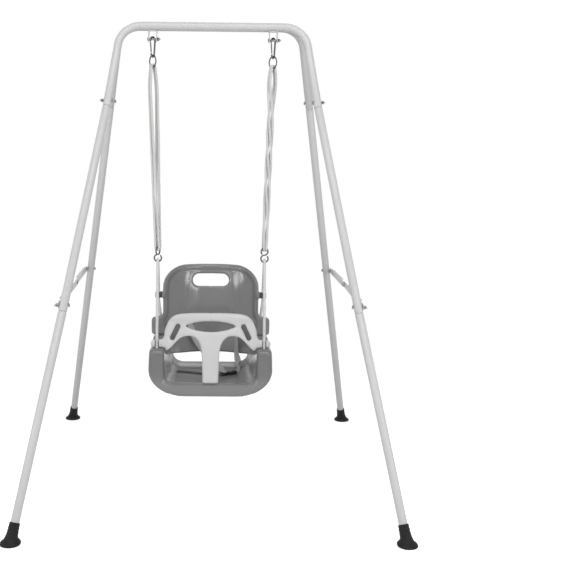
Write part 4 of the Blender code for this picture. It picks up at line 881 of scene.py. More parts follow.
# Ropes follow the CAD's routes: an endless rope wound twice above, one length over the hook below
ropes = {
    "upperRadius": 0.0033,
    "upperPoints": 15,
    "lowerRadius": 0.0041,
    "strandGap": 0.0005,
    # how far the strands stand from the middle at shares of the way from ring to hook, and added turns
    "spread": {
        -1: {
            "across": [(0.10, 0.0115), (0.45, 0.0095), (0.80, 0.0060)],
            "deep": [(0.3, 0.0045), (0.8, 0.0055)],
            "turns": 0,
        },
        1: {
            "across": [(0.05, 0.0115), (0.14, 0.0108), (0.26, 0.0050), (0.9, 0.0048)],
            "deep": [(0.2, 0.0048), (0.9, 0.0050)],
            "turns": 1,
        },
    },
    "knot": 0.0078,
    # places along a knot and its thickness there, as shares of its radius
    "knotShape": [
        (0.98, 0.25), (0.9, 0.55), (0.7, 0.86), (0.3, 1.0),
        (-0.1, 0.96), (-0.25, 0.88), (-0.45, 0.98), (-0.75, 0.8),
    ],
    "knotEnd": -1.05,
    "knotDrop": 0.006,
    "holeX": 0.150,
    "frontHole": (-0.105, 0.395),
    "rearHole": (0.085, 0.395),
    "lug": (0.1545, 0.0745, 0.5165, 0.009),
    "lugAbove": 0.008,
    "lugBelow": 0.006,
    "lugBend": 0.018,
    "wingTop": 0.450,
    "wingAbove": 0.008,
    "wall": 0.004,
    "step": 0.004,
    "around": 18,
}
strandPack = ropes["upperRadius"] + ropes["strandGap"] / 2
bightRadius = hardware["hookWire"] + hardware["gap"] + ropes["lowerRadius"]


def strandPlan(side):
    overRing = hardware["ringWire"] + hardware["gap"] + ropes["upperRadius"]
    overHook = hardware["hookWire"] + hardware["gap"] + ropes["upperRadius"]
    spread = ropes["spread"][side]
    across = [(0.0, overRing)] + spread["across"] + [(1.0, strandPack)]
    deep = [(0.0, strandPack)] + spread["deep"] + [(1.0, overHook)]
    lastTurn = hardware["hookTurn"][side] + 2 * math.pi * spread["turns"]
    return across, deep, hardware["ringTurn"] + math.pi / 2, lastTurn


# how far a round wire falls away under the strands that lie beside its middle, with room for their bights
def wireRise(radius):
    return radius - math.sqrt(radius * radius - strandPack * strandPack) + 4 * hardware["gap"]


def strandPoint(side, strand, share):
    across, deep, firstTurn, lastTurn = strandPlan(side)
    top = Vector((side * hardware["hangerX"], 0.0, ringLowZ + wireRise(hardware["ringRadius"])))
    bottom = Vector((side * hardware["hookX"], 0.0, hardware["hookTop"] - wireRise(hardware["hookEye"])))
    turn = firstTurn + (lastTurn - firstTurn) * eased(share)
    u = flatWay(turn) * lookup(across, share) * (-1, 1, 1, -1)[strand]
    v = flatWay(turn + math.pi / 2) * lookup(deep, share) * (-1, -1, 1, 1)[strand]
    return top.lerp(bottom, share) + u + v


def bight(start, end, lift, steps=4):
    centre = (start + end) / 2
    spoke = start - centre
    angles = [math.pi * k / steps for k in range(1, steps)]
    return [centre + spoke * math.cos(a) + up * lift * spoke.length * math.sin(a) for a in angles]


def makeUpperRope(word, side):
    shares = [k / (ropes["upperPoints"] - 1) for k in range(ropes["upperPoints"])]
    down = [[strandPoint(side, strand, s) for s in shares] for strand in range(4)]
    runs = [down[0], down[3][::-1], down[2], down[1][::-1]]
    route = []
    for i, run in enumerate(runs):
        route += run + bight(run[-1], runs[(i + 1) % 4][0], 1 if i % 2 else -1)
    path = smoothPath(route, ropes["step"], closed=True)
    rope = tube(path, [ropes["upperRadius"]] * len(path), right, ropes["around"], closed=True)
    refine("upper_rope_" + word, rope)


# where a rope from a target leaves the round of its bight on the hook; sign is the side in Y
def tangentPoint(centre, target, sign):
    run = target - centre
    run.x = 0.0
    distance = run.length
    along = run / distance
    normal = Vector((0.0, -along.z, along.y)) * -sign
    if normal.y * sign < 0:
        normal = -normal
    sine = bightRadius / distance
    return centre + (along * sine + normal * math.sqrt(1 - sine * sine)) * bightRadius


def knotRun(centre, away):
    bulge = ropes["knot"]
    run = [(centre + away * bulge * place, bulge * share) for place, share in ropes["knotShape"]]
    return run + [(centre + away * bulge * ropes["knotEnd"], ropes["lowerRadius"])]


def frontRopeLine(side):
    enter = Vector((side * ropes["holeX"], *ropes["frontHole"]))
    centre = Vector((side * hardware["hookX"], 0.0, hookLowZ))
    return tangentPoint(centre, enter, -1), enter


def makeLowerRope(word, side):
    centre = Vector((side * hardware["hookX"], 0.0, hookLowZ))
    frontLeave, frontEnter = frontRopeLine(side)
    frontWay = (frontLeave - frontEnter).normalized()
    drop = ropes["wall"] + hardware["gap"] + ropes["knot"] + ropes["knotDrop"]
    lugX, lugY, lugZ, lugHalf = ropes["lug"]
    aboveLug = Vector((side * lugX, lugY, lugZ + lugHalf + ropes["lugAbove"]))
    belowLug = Vector((side * lugX, lugY, lugZ - lugHalf - ropes["lugBelow"]))
    aboveWing = Vector((side * ropes["holeX"], ropes["rearHole"][0], ropes["wingTop"] + ropes["wingAbove"]))
    rearLeave = tangentPoint(centre, aboveLug, 1)
    rearEnter = Vector((side * ropes["holeX"], *ropes["rearHole"]))
    spokes = [frontLeave - centre, rearLeave - centre]
    startAngle, endAngle = (math.degrees(math.atan2(spoke.z, spoke.y)) for spoke in spokes)
    over = arcPoints(centre, back, up, bightRadius, startAngle % 360, endAngle, 12)
    lugBend = roundedCorner(rearLeave, aboveLug, belowLug, ropes["lugBend"], 5)
    frontKnot = knotRun(frontEnter - frontWay * drop, -frontWay)
    rearKnot = knotRun(rearEnter - up * drop, -up)
    corners = [frontKnot[-1][0]] + over + lugBend + [belowLug, aboveWing, rearKnot[-1][0]]
    body = [corners[0]]
    for start, end in zip(corners, corners[1:]):
        cuts = max(1, round((end - start).length / ropes["step"]))
        body += [start.lerp(end, k / cuts) for k in range(1, cuts + 1)]
    whole = frontKnot[:-1] + [(point, ropes["lowerRadius"]) for point in body] + rearKnot[-2::-1]
    path, radii = zip(*whole)
    refine("lower_rope_" + word, tube(path, radii, right, ropes["around"]))


for word, side in sides.items():
    makeUpperRope(word, side)
    makeLowerRope(word, side)
print("ropes made")


# Moulded shells: closed forms are melted into one body, cut, and eased
def looseObject(name, bm):
    thing = bpy.data.objects.new(name, meshOf(name, bm))
    bpy.context.scene.collection.objects.link(thing)
    return thing


def joined(shells):
    whole = bmesh.new()
    for shell in shells:
        mesh = meshOf("shell", shell)
        whole.from_mesh(mesh)
        bpy.data.meshes.remove(mesh)
    return whole


def melt(thing, voxel):
    step = thing.modifiers.new("melt", "REMESH")
    step.mode = "VOXEL"
    step.voxel_size = voxel


# shells melted into one skin by their plan; settle moves a vertex back onto the face it was drawn with
def melted(name, shells, cuts, plan, settle=None):
    thing = looseObject(name + "_raw", joined(shells))
    tools = [looseObject(f"{name}_cut{i}", cut) for i, cut in enumerate(cuts)]
    melt(thing, plan["voxel"])
    for tool in tools:
        step = thing.modifiers.new(tool.name, "BOOLEAN")
        step.operation = "DIFFERENCE"
        step.solver = "EXACT"
        step.object = tool
    melt(thing, plan["voxel"])
    ease = thing.modifiers.new("ease", "SMOOTH")
    ease.factor = 0.5
    ease.iterations = plan["rounds"]
    graph = bpy.context.evaluated_depsgraph_get()
    mesh = bpy.data.meshes.new_from_object(thing.evaluated_get(graph), depsgraph=graph)
    for spare in [thing] + tools:
        bpy.data.objects.remove(spare, do_unlink=True)
    if settle:
        for vertex in mesh.vertices:
            vertex.co = settle(vertex.co)
    return mesh


def rod(start, end, radius, sides=24):
    way = end - start
    turn = way.to_track_quat("Z", "Y").to_matrix().to_4x4()
    place = Matrix.Translation((start + end) / 2) @ turn
    size = {"radius1": radius, "radius2": radius, "depth": way.length}
    bm = bmesh.new()
    bmesh.ops.create_cone(bm, cap_ends=True, segments=sides, matrix=place, **size)
    return bm


def cuboid(centre, size):
    bm = bmesh.new()
    place = Matrix.Translation(centre) @ Matrix.Diagonal((*size, 1))
    bmesh.ops.create_cube(bm, size=1, matrix=place)
    return bm


def ellipseArc(cx, cz, rx, rz, start, end, steps):
    return [(cx + rx * math.cos(a), cz + rz * math.sin(a)) for a in sweep(start, end, steps)]


def mirrored(half):
    return half + [(-x, z) for x, z in half[-2:0:-1]]


# a measure of the distance to the nearest edge, each marked every millimetre or in so many pieces
def edgeDistance(loops, pieces=None):
    marks = []
    for loop in loops:
        for (xA, zA), (xB, zB) in zip(loop, loop[1:] + loop[:1]):
            a, b = Vector((xA, 0, zA)), Vector((xB, 0, zB))
            count = pieces or max(1, round((b - a).length / 0.001))
            marks += [a.lerp(b, k / count) for k in range(count)]
    tree = KDTree(len(marks))
    for i, mark in enumerate(marks):
        tree.insert(mark, i)
    tree.balance()
    return lambda x, z: tree.find((x, 0, z))[2]


# a plate from its outline and holes; front and rear give each face's y from x, z and the edge's distance
def plate(outline, holes, step, insets, front, rear):
    bm = bmesh.new()
    for loop in [outline] + holes:
        corners = [bm.verts.new((x, 0, z)) for x, z in loop]
        for a, b in zip(corners, corners[1:] + corners[:1]):
            bm.edges.new((a, b))
    bmesh.ops.triangle_fill(bm, edges=bm.edges[:], use_beauty=True, normal=(0, -1, 0))
    for width in insets:
        evenly = {"use_boundary": True, "use_even_offset": True}
        bmesh.ops.inset_region(bm, faces=bm.faces[:], thickness=width, **evenly)
    for spread, normal in zip(zip(*outline), (right, up)):
        low, high = min(spread), max(spread)
        lines = int((high - low) / step)
        for k in range(1, lines):
            spot = normal * (low + (high - low) * k / lines)
            whole = bm.verts[:] + bm.edges[:] + bm.faces[:]
            bmesh.ops.bisect_plane(bm, geom=whole, dist=1e-6, plane_co=spot, plane_no=normal)
    grown = bmesh.ops.extrude_face_region(bm, geom=bm.faces[:])["geom"]
    rearVerts = {v for v in grown if isinstance(v, bmesh.types.BMVert)}
    distanceAt = edgeDistance([outline] + holes)
    for vert in bm.verts:
        face = rear if vert in rearVerts else front
        vert.co.y = face(vert.co.x, vert.co.z, distanceAt(vert.co.x, vert.co.z))
    bmesh.ops.recalc_face_normals(bm, faces=bm.faces)
    return bm


def bullnose(distance, radius):
    share = 1 - min(distance, radius) / radius
    return math.sqrt(max(0.0, 1 - share * share))


# Seat base: a bench between two arms, each with a column at the front and the rear
seat = {
    "front": -0.140,
    "rear": 0.110,
    "bottom": 0.258,
    "half": 0.1732,
    "topHalf": 0.1705,
    "shoulder": 0.334,
    "cornerWidth": 0.103,
    # how far in from the side and above the shoulder the arm's outer face starts
    "crease": (0.001, 0.031),
    "armTop": ropes["frontHole"][1],
    "armInner": 0.128,
    "armDip": 0.011,
    "armRound": 0.0085,
    # Y where the arm between the columns starts and ends, and the length of each passage
    "recess": (-0.080, 0.038, 0.020),
    "sideRecess": 0.0025,
    "cove": 0.014,
    # the cove's added width and height at each end of the pan, and where that starts and how long it grows
    "rearCove": (0.020, 0.010),
    "rearCoveRun": (0.025, 0.060),
    "frontCove": (0.017, 0.010),
    "frontCoveRun": (0.012, 0.030),
    "coveLead": 0.012,
    "lean": 0.018,
    "lipRound": 0.015,
    "wall": ropes["wall"],
    "opening": 0.118,
    "openingBelow": 0.012,
    # what the hollow keeps from each end beyond the wall, and how much narrower it is there
    "hollowEnd": (0.004, 0.005),
    "sections": 44,
    "hollowSections": 24,
    "holeGap": 0.0006,
    # how far a rope's hole is cut below and above its place
    "drill": (0.014, 0.010),
    # the pan's height at each Y; it rises steeply to the rim at the rear
    "pan": [
        (-0.140, 0.296), (-0.122, 0.296), (-0.10, 0.294), (0.070, 0.294),
        (0.078, 0.2935), (0.080, 0.2945), (0.087, 0.3085), (0.090, 0.3095),
    ],
    "hollowTop": 0.2935,
    "voxel": 0.0024,
    "rounds": 6,
}


def panHeight(y):
    return lookup(seat["pan"], y)


def armMask(y):
    start, end, run = seat["recess"]
    return eased((y - start) / run) * (1 - eased((y - end) / run))


def seatSection(y, inset, opened=False):
    mask = armMask(y)
    half = seat["half"] - inset
    topHalf = seat["topHalf"] - inset - seat["sideRecess"] * mask
    bottom = seat["bottom"] + inset
    inner = seat["armInner"] + inset + seat["sideRecess"] * mask
    floor = (min(panHeight(y), seat["hollowTop"]) if opened else panHeight(y)) - inset
    top = seat["armTop"] - seat["armDip"] * mask - inset
    cornerWidth = seat["cornerWidth"] - inset
    cornerHeight = seat["shoulder"] - bottom
    centreX = half - cornerWidth
    if opened:
        sine = (seat["opening"] - centreX) / cornerWidth
        edge = seat["shoulder"] - cornerHeight * math.sqrt(1 - sine * sine)
        below = seat["bottom"] - seat["openingBelow"]
        start = -math.degrees(math.acos(sine))
        points = [(0.0, below), (seat["opening"], below), (seat["opening"], edge)]
        points += ellipseArc(centreX, seat["shoulder"], cornerWidth, cornerHeight, start + 4, 0, 9)
    else:
        points = [(0.0, bottom)]
        points += ellipseArc(centreX, seat["shoulder"], cornerWidth, cornerHeight, -90, 0, 18)
    bend = max(0.002, seat["armRound"] - inset * 0.5)
    points += [(half - seat["crease"][0], seat["shoulder"] + seat["crease"][1])]
    points += ellipseArc(topHalf - bend, top - bend, bend, bend, 0, 90, 6)
    points += ellipseArc(inner + bend, top - bend, bend, bend, 90, 180, 6)
    ahead = y - seat["front"]
    base = inner - seat["lean"] * min(1.0, max(0.0, ahead / (seat["rear"] - seat["front"])))
    rearShare = eased((y - seat["rearCoveRun"][0]) / seat["rearCoveRun"][1])
    frontShare = 1 - eased((ahead - seat["frontCoveRun"][0]) / seat["frontCoveRun"][1])
    coves = zip(seat["rearCove"], seat["frontCove"])
    coveX, coveZ = (seat["cove"] + atRear * rearShare + atFront * frontShare for atRear, atFront in coves)
    points += ellipseArc(base - coveX, floor + coveZ, coveX, coveZ, 0, -90, 12)
    points += [(base - coveX - seat["coveLead"], floor), (0.0, floor)]
    return mirrored(points)


# one skin over the sections at the given stations, each a Y and how far the section is drawn in there
def seatSkin(stations, opened=False):
    rings = [[Vector((x, y, z)) for x, z in seatSection(y, inset, opened)] for y, inset in stations]
    count = len(rings[0])
    last = len(rings) - 1
    return skin(count, last, lambda u, v: rings[round(v * last)][round(u * count) % count])


def makeSeatBase():
    bend, wall = seat["lipRound"], seat["wall"]
    lip = [(bend * (1 - math.cos(a)), bend * (1 - math.sin(a))) for a in sweep(0, 90, 8)]
    low, high = seat["front"] + bend, seat["rear"] - bend
    stations = [(seat["front"] + run, inset) for run, inset in lip]
    count, hollowCount = seat["sections"], seat["hollowSections"]
    stations += [(low + (high - low) * k / count, 0.0) for k in range(1, count)]
    stations += [(seat["rear"] - run, inset) for run, inset in reversed(lip)]
    hollow = [(low + (high - low) * k / hollowCount, wall) for k in range(hollowCount + 1)]
    keep, narrower = seat["hollowEnd"]
    hollow.insert(0, (seat["front"] + wall + keep, wall + narrower))
    hollow.append((seat["rear"] - wall - keep, wall + narrower))
    cuts = [seatSkin(hollow, True)]
    hole = ropes["lowerRadius"] + seat["holeGap"]
    for side in (-1, 1):
        leave, enter = frontRopeLine(side)
        rearHole = Vector((side * ropes["holeX"], *ropes["rearHole"]))
        for place, way in ((enter, (leave - enter).normalized()), (rearHole, up)):
            cuts.append(rod(place - way * seat["drill"][0], place + way * seat["drill"][1], hole))
    mesh = melted("seat", [seatSkin(stations)], cuts, seat)
    addMesh("seat_shell", mesh, "seat_base")


# Backrest: curved shell with a rolled rim, wings over the arms and a lug at each side
backrest = {
    "top": 0.600,
    "bottom": 0.334,
    "half": 0.1415,
    "lowerHalf": 0.1235,
    "cornerWidth": 0.066,
    "cornerHeight": 0.060,
    "lowBend": 0.014,
    "sideY": 0.075,
    "lowY": 0.115,
    "highY": 0.150,
    "topLean": 0.6,
    "leanFrom": 0.515,
    "depth": 0.010,
    "edgeRound": 0.004,
    "rimWidth": 0.0095,
    "rimRise": 0.0036,
    "rimFade": 0.010,
    "rimPieces": 8,
    "rearRim": 0.6,
    # the rim grows from this height above the bottom over this run, and fades out over the wings
    "rimFoot": (0.02, 0.05),
    "wingFade": 0.01,
    "wingTopFade": 0.02,
    "wingHalf": 0.176,
    "wingTop": ropes["wingTop"],
    "wingLow": 0.3953,
    "wingBend": 0.012,
    "neckBend": 0.016,
    # round bosses through the wings, drilled for the ropes from below to above
    "boss": 0.0082,
    "bossEnds": (0.0004, 0.001),
    "bossDrill": (0.010, 0.012),
    "lugInner": 0.1335,
    "lugOuter": 0.1640,
    "lugDepth": 0.016,
    "lugDrill": 0.014,
    "holeGap": 0.0009,
    # half width, bottom and top of the handle; X, Z, width and height of a strap's slot
    "handle": (0.054, 0.534, 0.570),
    "strapSlot": (0.068, 0.4405, 0.0045, 0.024),
    "middleHole": (0.0045, 0.0075),
    "insets": (0.0015, 0.002),
    # melted vertices settle back from this distance to an edge, over this run, from no farther than this
    "settle": (0.0045, 0.002, 0.0016),
    "step": 0.005,
    "voxel": 0.0018,
    "rounds": 7,
}


def backBend(x, z):
    share = min(1.0, abs(x) / backrest["half"])
    height = (z - backrest["bottom"]) / (backrest["top"] - backrest["bottom"])
    centre = backrest["lowY"] + (backrest["highY"] - backrest["lowY"]) * height
    lean = backrest["topLean"] * max(0.0, z - backrest["leanFrom"]) ** 2
    return backrest["sideY"] + (centre - backrest["sideY"]) * (1 - share * share) + lean


def backOutline():
    bottom, lower, wing = backrest["bottom"], backrest["lowerHalf"], backrest["wingHalf"]
    wingLow, wingTop, half = backrest["wingLow"], backrest["wingTop"], backrest["half"]
    lowBend, wingBend, neckBend = backrest["lowBend"], backrest["wingBend"], backrest["neckBend"]
    points = [(0.0, bottom + 0.003), (0.060, bottom + 0.001), (0.105, bottom)]
    points += ellipseArc(lower - lowBend, bottom + lowBend, lowBend, lowBend, -75, 0, 6)
    points += [(lower, wingLow - 0.006), (lower + 0.002, wingLow), (wing - 0.007, wingLow)]
    points += [(wing - 0.001, wingLow + 0.004), (wing, wingLow + wingBend)]
    points += ellipseArc(wing - wingBend, wingTop - wingBend, wingBend, wingBend, 0, 90, 6)
    points += ellipseArc(half + neckBend, wingTop + neckBend, neckBend, neckBend, -90, -180, 6)
    points += [(half, wingTop + 0.03), (half, wingTop + 0.06)]
    corner = half - backrest["cornerWidth"]
    high = backrest["top"] - backrest["cornerHeight"]
    points += ellipseArc(corner, high, backrest["cornerWidth"], backrest["cornerHeight"], 0, 90, 18)
    return mirrored(points + [(0.0, backrest["top"] - 0.0005)])


def slotOutline(half, low, high, steps):
    middle = (low + high) / 2
    radius = (high - low) / 2
    points = ellipseArc(half - radius, middle, radius, radius, -80, 90, steps)
    points += ellipseArc(-half + radius, middle, radius, radius, 90, 260, steps)
    return points + [(0.0, low - 0.001)]


def backHoles():
    slotX, slotZ, slotWidth, slotHeight = backrest["strapSlot"]
    w, h = slotWidth / 2, slotHeight / 2
    holes = [slotOutline(*backrest["handle"], 12)]
    holes.append(ellipseArc(0.0, slotZ, *backrest["middleHole"], 0, 345, 23))
    for x in (-slotX, slotX):
        holes.append([(x - w, slotZ - h), (x + w, slotZ - h), (x + w, slotZ + h), (x - w, slotZ + h)])
    return holes


def makeBackrest():
    half, edgeRound = backrest["depth"] / 2, backrest["edgeRound"]
    outer, holes = backOutline(), backHoles()
    rimDistance = edgeDistance([outer], backrest["rimPieces"])
    distanceAt = edgeDistance([outer] + holes)

    def rim(x, z):
        fade = 1 - eased((rimDistance(x, z) - backrest["rimWidth"]) / backrest["rimFade"])
        start, run = backrest["rimFoot"]
        upper = eased((z - backrest["bottom"] - start) / run)
        besideBack = eased((abs(x) - backrest["half"]) / backrest["wingFade"] + 1)
        belowTop = 1 - eased((z - backrest["wingTop"]) / backrest["wingTopFade"])
        return backrest["rimRise"] * fade * upper * (1 - besideBack * belowTop)

    def front(x, z, distance):
        return backBend(x, z) - half * bullnose(distance, edgeRound) - rim(x, z)

    def rear(x, z, distance):
        return backBend(x, z) + half * bullnose(distance, edgeRound) - rim(x, z) * backrest["rearRim"]

    def settle(point):
        start, run, reach = backrest["settle"]
        distance = distanceAt(point.x, point.z)
        weight = eased((distance - start) / run)
        for face in (front, rear):
            aim = face(point.x, point.z, distance)
            if weight and abs(point.y - aim) < reach:
                return Vector((point.x, point.y + (aim - point.y) * weight, point.z))
        return point

    shells = [plate(outer, holes, backrest["step"], backrest["insets"], front, rear)]
    cuts = []
    hole = ropes["lowerRadius"] + backrest["holeGap"]
    lugX, lugY, lugZ, lugHalf = ropes["lug"]
    inner, end = backrest["lugInner"], backrest["lugOuter"]
    drillLow, drillTop = backrest["bossDrill"]
    for side in (-1, 1):
        x, y = side * ropes["holeX"], ropes["rearHole"][0]
        bossLow = Vector((x, y, backrest["wingLow"] + backrest["bossEnds"][0]))
        bossTop = Vector((x, y, backrest["wingTop"] + backrest["bossEnds"][1]))
        shells.append(rod(bossLow, bossTop, backrest["boss"]))
        centre = Vector((side * (end + inner) / 2, lugY, lugZ))
        shells.append(cuboid(centre, (end - inner, backrest["lugDepth"], 2 * lugHalf)))
        cuts.append(rod(bossLow - up * drillLow, bossTop + up * drillTop, hole))
        lug = Vector((side * lugX, lugY, lugZ))
        cuts.append(rod(lug - up * backrest["lugDrill"], lug + up * backrest["lugDrill"], hole))
    addMesh("backrest_shell", melted("back", shells, cuts, backrest, settle), "backrest")


# Guard: T-shaped bar with a rounded top, an oval hand opening and a slanted slot at each side
guardBar = {
    "depth": 0.012,
    "topDepth": 0.019,
    # height where the bar starts to grow to its top's depth, and over what height
    "topRun": (0.468, 0.016),
    "edgeRound": 0.0055,
    "bulge": 0.030,
    "y": ropes["frontHole"][0],
    "lean": 0.010,
    "earLow": 0.0006,
    "earTop": 0.4155,
    "ear": 0.013,
    "holeGap": 0.0024,
    "drill": (0.010, 0.045),
    "groove": 0.0055,
    "grooveLength": 0.09,
    # half width, height, half height and how far the tips are cut; then the angle where the two arcs meet
    "oval": (0.069, 0.4605, 0.014, 0.001),
    "ovalAngle": 38,
    "slot": ((0.0905, 0.459), (0.1065, 0.425), 0.0065),
    "stemLow": 0.2963,
    "insets": (0.0012, 0.0018, 0.0025),
    "step": 0.005,
    "voxel": 0.0018,
    "rounds": 6,
}


def guardBend(x, z):
    share = min(1.0, abs(x) / ropes["holeX"])
    lean = guardBar["lean"] * eased((seat["armTop"] + 0.01 - z) / (seat["armTop"] - seat["shoulder"] + 0.04))
    return guardBar["y"] - guardBar["bulge"] * (1 - share * share) + lean


# right half from the stem's foot round to the top; smooth between its corners
def guardOutline():
    low, ear = guardBar["stemLow"], seat["armTop"] + 0.0003
    half = [(0.0, low), (0.0225, low), (0.0245, 0.366), (0.0262, 0.3937), (0.0325, 0.415)]
    half += [(0.045, 0.4292), (0.062, 0.4325), (0.080, 0.4275), (0.093, 0.4165), (0.106, 0.4015)]
    half += [(0.118, 0.3895), (0.1235, 0.3875), (0.1268, 0.3900), (0.1274, ear)]
    half += [(0.163, ear), (0.1675, ear + 0.004), (0.168, 0.4095), (0.163, guardBar["earTop"])]
    half += [(0.148, 0.4170), (0.136, 0.4195), (0.130, 0.4285), (0.1265, 0.4495), (0.117, 0.4722)]
    half += [(0.105, 0.4855), (0.090, 0.4925), (0.065, 0.4965), (0.033, 0.4983), (0.0, 0.4985)]
    points = [Vector((x, 0, z)) for x, z in half]
    corners = [1, 13, 14, len(points) - 1]
    fine = []
    for start, stop in zip([0] + corners, corners):
        run = points[start : stop + 1]
        fine += (smoothPath(run, 0.004) if len(run) > 2 else run)[:-1]
    return mirrored([(p.x, p.z) for p in fine + [points[-1]]])


def ovalOutline():
    half, z, rise, blunt = guardBar["oval"]
    angle = guardBar["ovalAngle"]
    sine, cosine = math.sin(math.radians(angle)), math.cos(math.radians(angle))
    rx, rz = half / cosine, rise / (1 - sine)
    drop = rz * sine - blunt
    upper = ellipseArc(0.0, z - drop, rx, rz, angle, 180 - angle, 24)
    return upper + ellipseArc(0.0, z + drop, rx, rz, 180 + angle, 360 - angle, 24)


def sideSlot(side):
    high, low, radius = guardBar["slot"]
    high, low = Vector(high), Vector(low)
    way = (low - high).normalized()
    across = Vector((-way.y, way.x))
    points = []
    for centre, sign in ((high, -1), (low, 1)):
        for a in sweep(0, 180, 12):
            points.append(centre + (way * math.sin(a) - across * math.cos(a)) * radius * sign)
    return [(side * p.x, p.y) for p in points]


def makeGuard():
    def halfDepth(z):
        start, run = guardBar["topRun"]
        return (guardBar["depth"] + (guardBar["topDepth"] - guardBar["depth"]) * eased((z - start) / run)) / 2

    def front(x, z, distance):
        return guardBend(x, z) - halfDepth(z) * bullnose(distance, guardBar["edgeRound"])

    def rear(x, z, distance):
        return guardBend(x, z) + halfDepth(z) * bullnose(distance, guardBar["edgeRound"])

    holes = [ovalOutline(), sideSlot(-1), sideSlot(1)]
    shells = [plate(guardOutline(), holes, guardBar["step"], guardBar["insets"], front, rear)]
    cuts = []
    hole = ropes["lowerRadius"] + guardBar["holeGap"]
    ear, low, high = guardBar["ear"], seat["armTop"] + guardBar["earLow"], guardBar["earTop"]
    for side in (-1, 1):
        leave, enter = frontRopeLine(side)
        way = (leave - enter).normalized()
        middle = enter + way * ((low + high) / 2 - seat["armTop"]) / way.z
        shells.append(rod(Vector((middle.x, middle.y, low)), Vector((middle.x, middle.y, high)), ear, 40))
        cuts.append(rod(enter - way * guardBar["drill"][0], enter + way * guardBar["drill"][1], hole))
        groove = cuboid((0, -ear, 0), (2 * guardBar["groove"], 2 * ear, guardBar["grooveLength"]))
        lean = up.rotation_difference(way).to_matrix().to_4x4()
        bmesh.ops.transform(groove, matrix=Matrix.Translation(middle) @ lean, verts=groove.verts)
        cuts.append(groove)
    addMesh("guard_bar", melted("guard", shells, cuts, guardBar), "guard")


makeSeatBase()
makeBackrest()
makeGuard()
print("seat, back and guard moulded")

# Harness: two shoulder straps through the back's slots, a lap strap and a side-release buckle
harness = {
    "width": 0.020,
    "thick": 0.0014,
    "lapWidth": 0.018,
    "centre": (0.060, 0.0),
    "turn": math.radians(30),
    "lift": 0.0005,
    "socket": 0.030,
    "plug": 0.016,
    "buckleWidth": 0.024,
    "buckleHeight": 0.009,
    "gap": 0.0003,
    "behind": 0.008,
    "before": 0.010,
    "step": 0.003,
    # across, forward and down from the slot's front, and the way the webbing faces there, in degrees
    "rightDrop": [
        (0.001, 0.014, 0.006, 0),
        (0.003, 0.021, 0.020, 10),
        (0.006, 0.024, 0.045, 20),
        (0.008, 0.024, 0.080, 28),
        (0.009, 0.026, 0.103, 42),
    ],
    # the same with the height above the pan
    "rightRest": [(0.012, 0.032, 0.028, 72), (0.014, 0.041, 0.018, 80)],
    # as for the right strap's drop, but each facing is a direction
    "leftDrop": [
        (0.002, 0.010, 0.003, (-1, -0.35, 0.2)),
        (0.007, 0.018, 0.014, (-0.8, -0.6, 0.3)),
        (0.014, 0.022, 0.032, (-0.4, -0.9, 0.2)),
        (0.024, 0.022, 0.056, (-0.2, -1, 0.1)),
        (0.038, 0.024, 0.078, (-0.2, -1, 0.2)),
        (0.056, 0.032, 0.100, (-0.2, -1, 0.5)),
    ],
    # X and Y of the lap strap's route over the pan
    "lap": [(-0.098, 0.026), (-0.080, 0.023), (-0.055, 0.014), (-0.028, 0.002), (0.000, -0.012)],
    "smoothAngle": 50,
}
buckleAlong = flatWay(harness["turn"])
buckleMouth = Vector((*harness["centre"], panHeight(0.0) + harness["lift"] + harness["buckleHeight"] / 2))
strapRest = panHeight(0.0) + harness["gap"] + harness["thick"] / 2


# flat section with thin edges, in halves of the width and the thickness
def webbingSection():
    face = [-0.94 + 1.88 * k / 6 for k in range(7)]
    section = [(-1, 0.0), (-0.985, -0.7)] + [(x, -1) for x in face]
    section += [(0.985, -0.7), (1, 0.0), (0.985, 0.7)] + [(-x, 1) for x in face]
    return section + [(-0.985, 0.7)]


# a strap along its route, which gives each point and the way the webbing faces there
def strapSkin(route, width):
    points = [point for point, _ in route]
    faces = [Vector(face) for _, face in route]
    cuts = [max(1, round((b - a).length / harness["step"])) for a, b in zip(points, points[1:])]
    path = smoothPath(points, harness["step"])
    normals = []
    for (a, b), count in zip(zip(faces, faces[1:]), cuts):
        normals += [a.lerp(b, eased(k / count)) for k in range(count)]
    normals.append(faces[-1])
    last = len(path) - 1
    frames = []
    length = 0.0
    for i, point in enumerate(path):
        tangent = (path[min(i + 1, last)] - path[max(i - 1, 0)]).normalized()
        normal = (normals[i] - tangent * normals[i].dot(tangent)).normalized()
        length += (point - path[i - 1]).length if i else 0.0
        frames.append((point, tangent.cross(normal), normal, length))
    section = webbingSection()
    count = len(section)

    def shape(u, v):
        point, side, normal, _ = frames[round(v * last)]
        a, t = section[round(u * count) % count]
        return point + side * a * width / 2 + normal * t * harness["thick"] / 2

    marks = {
        "across": lambda u, v: section[round(u * count) % count][0],
        "along": lambda u, v: frames[round(v * last)][3],
    }
    return skin(count, last, shape, marks=marks)


# where a shoulder strap comes through its slot, against the slot's outer edge: behind the back and before it
def slotPlaces(side):
    slotX, slotZ, slotWidth, _ = backrest["strapSlot"]
    x = side * (slotX + (slotWidth - harness["thick"]) / 2 - harness["gap"])
    y, half = backBend(slotX, slotZ), backrest["depth"] / 2
    return Vector((x, y + half + harness["behind"], slotZ)), Vector((x, y - half - harness["before"], slotZ))


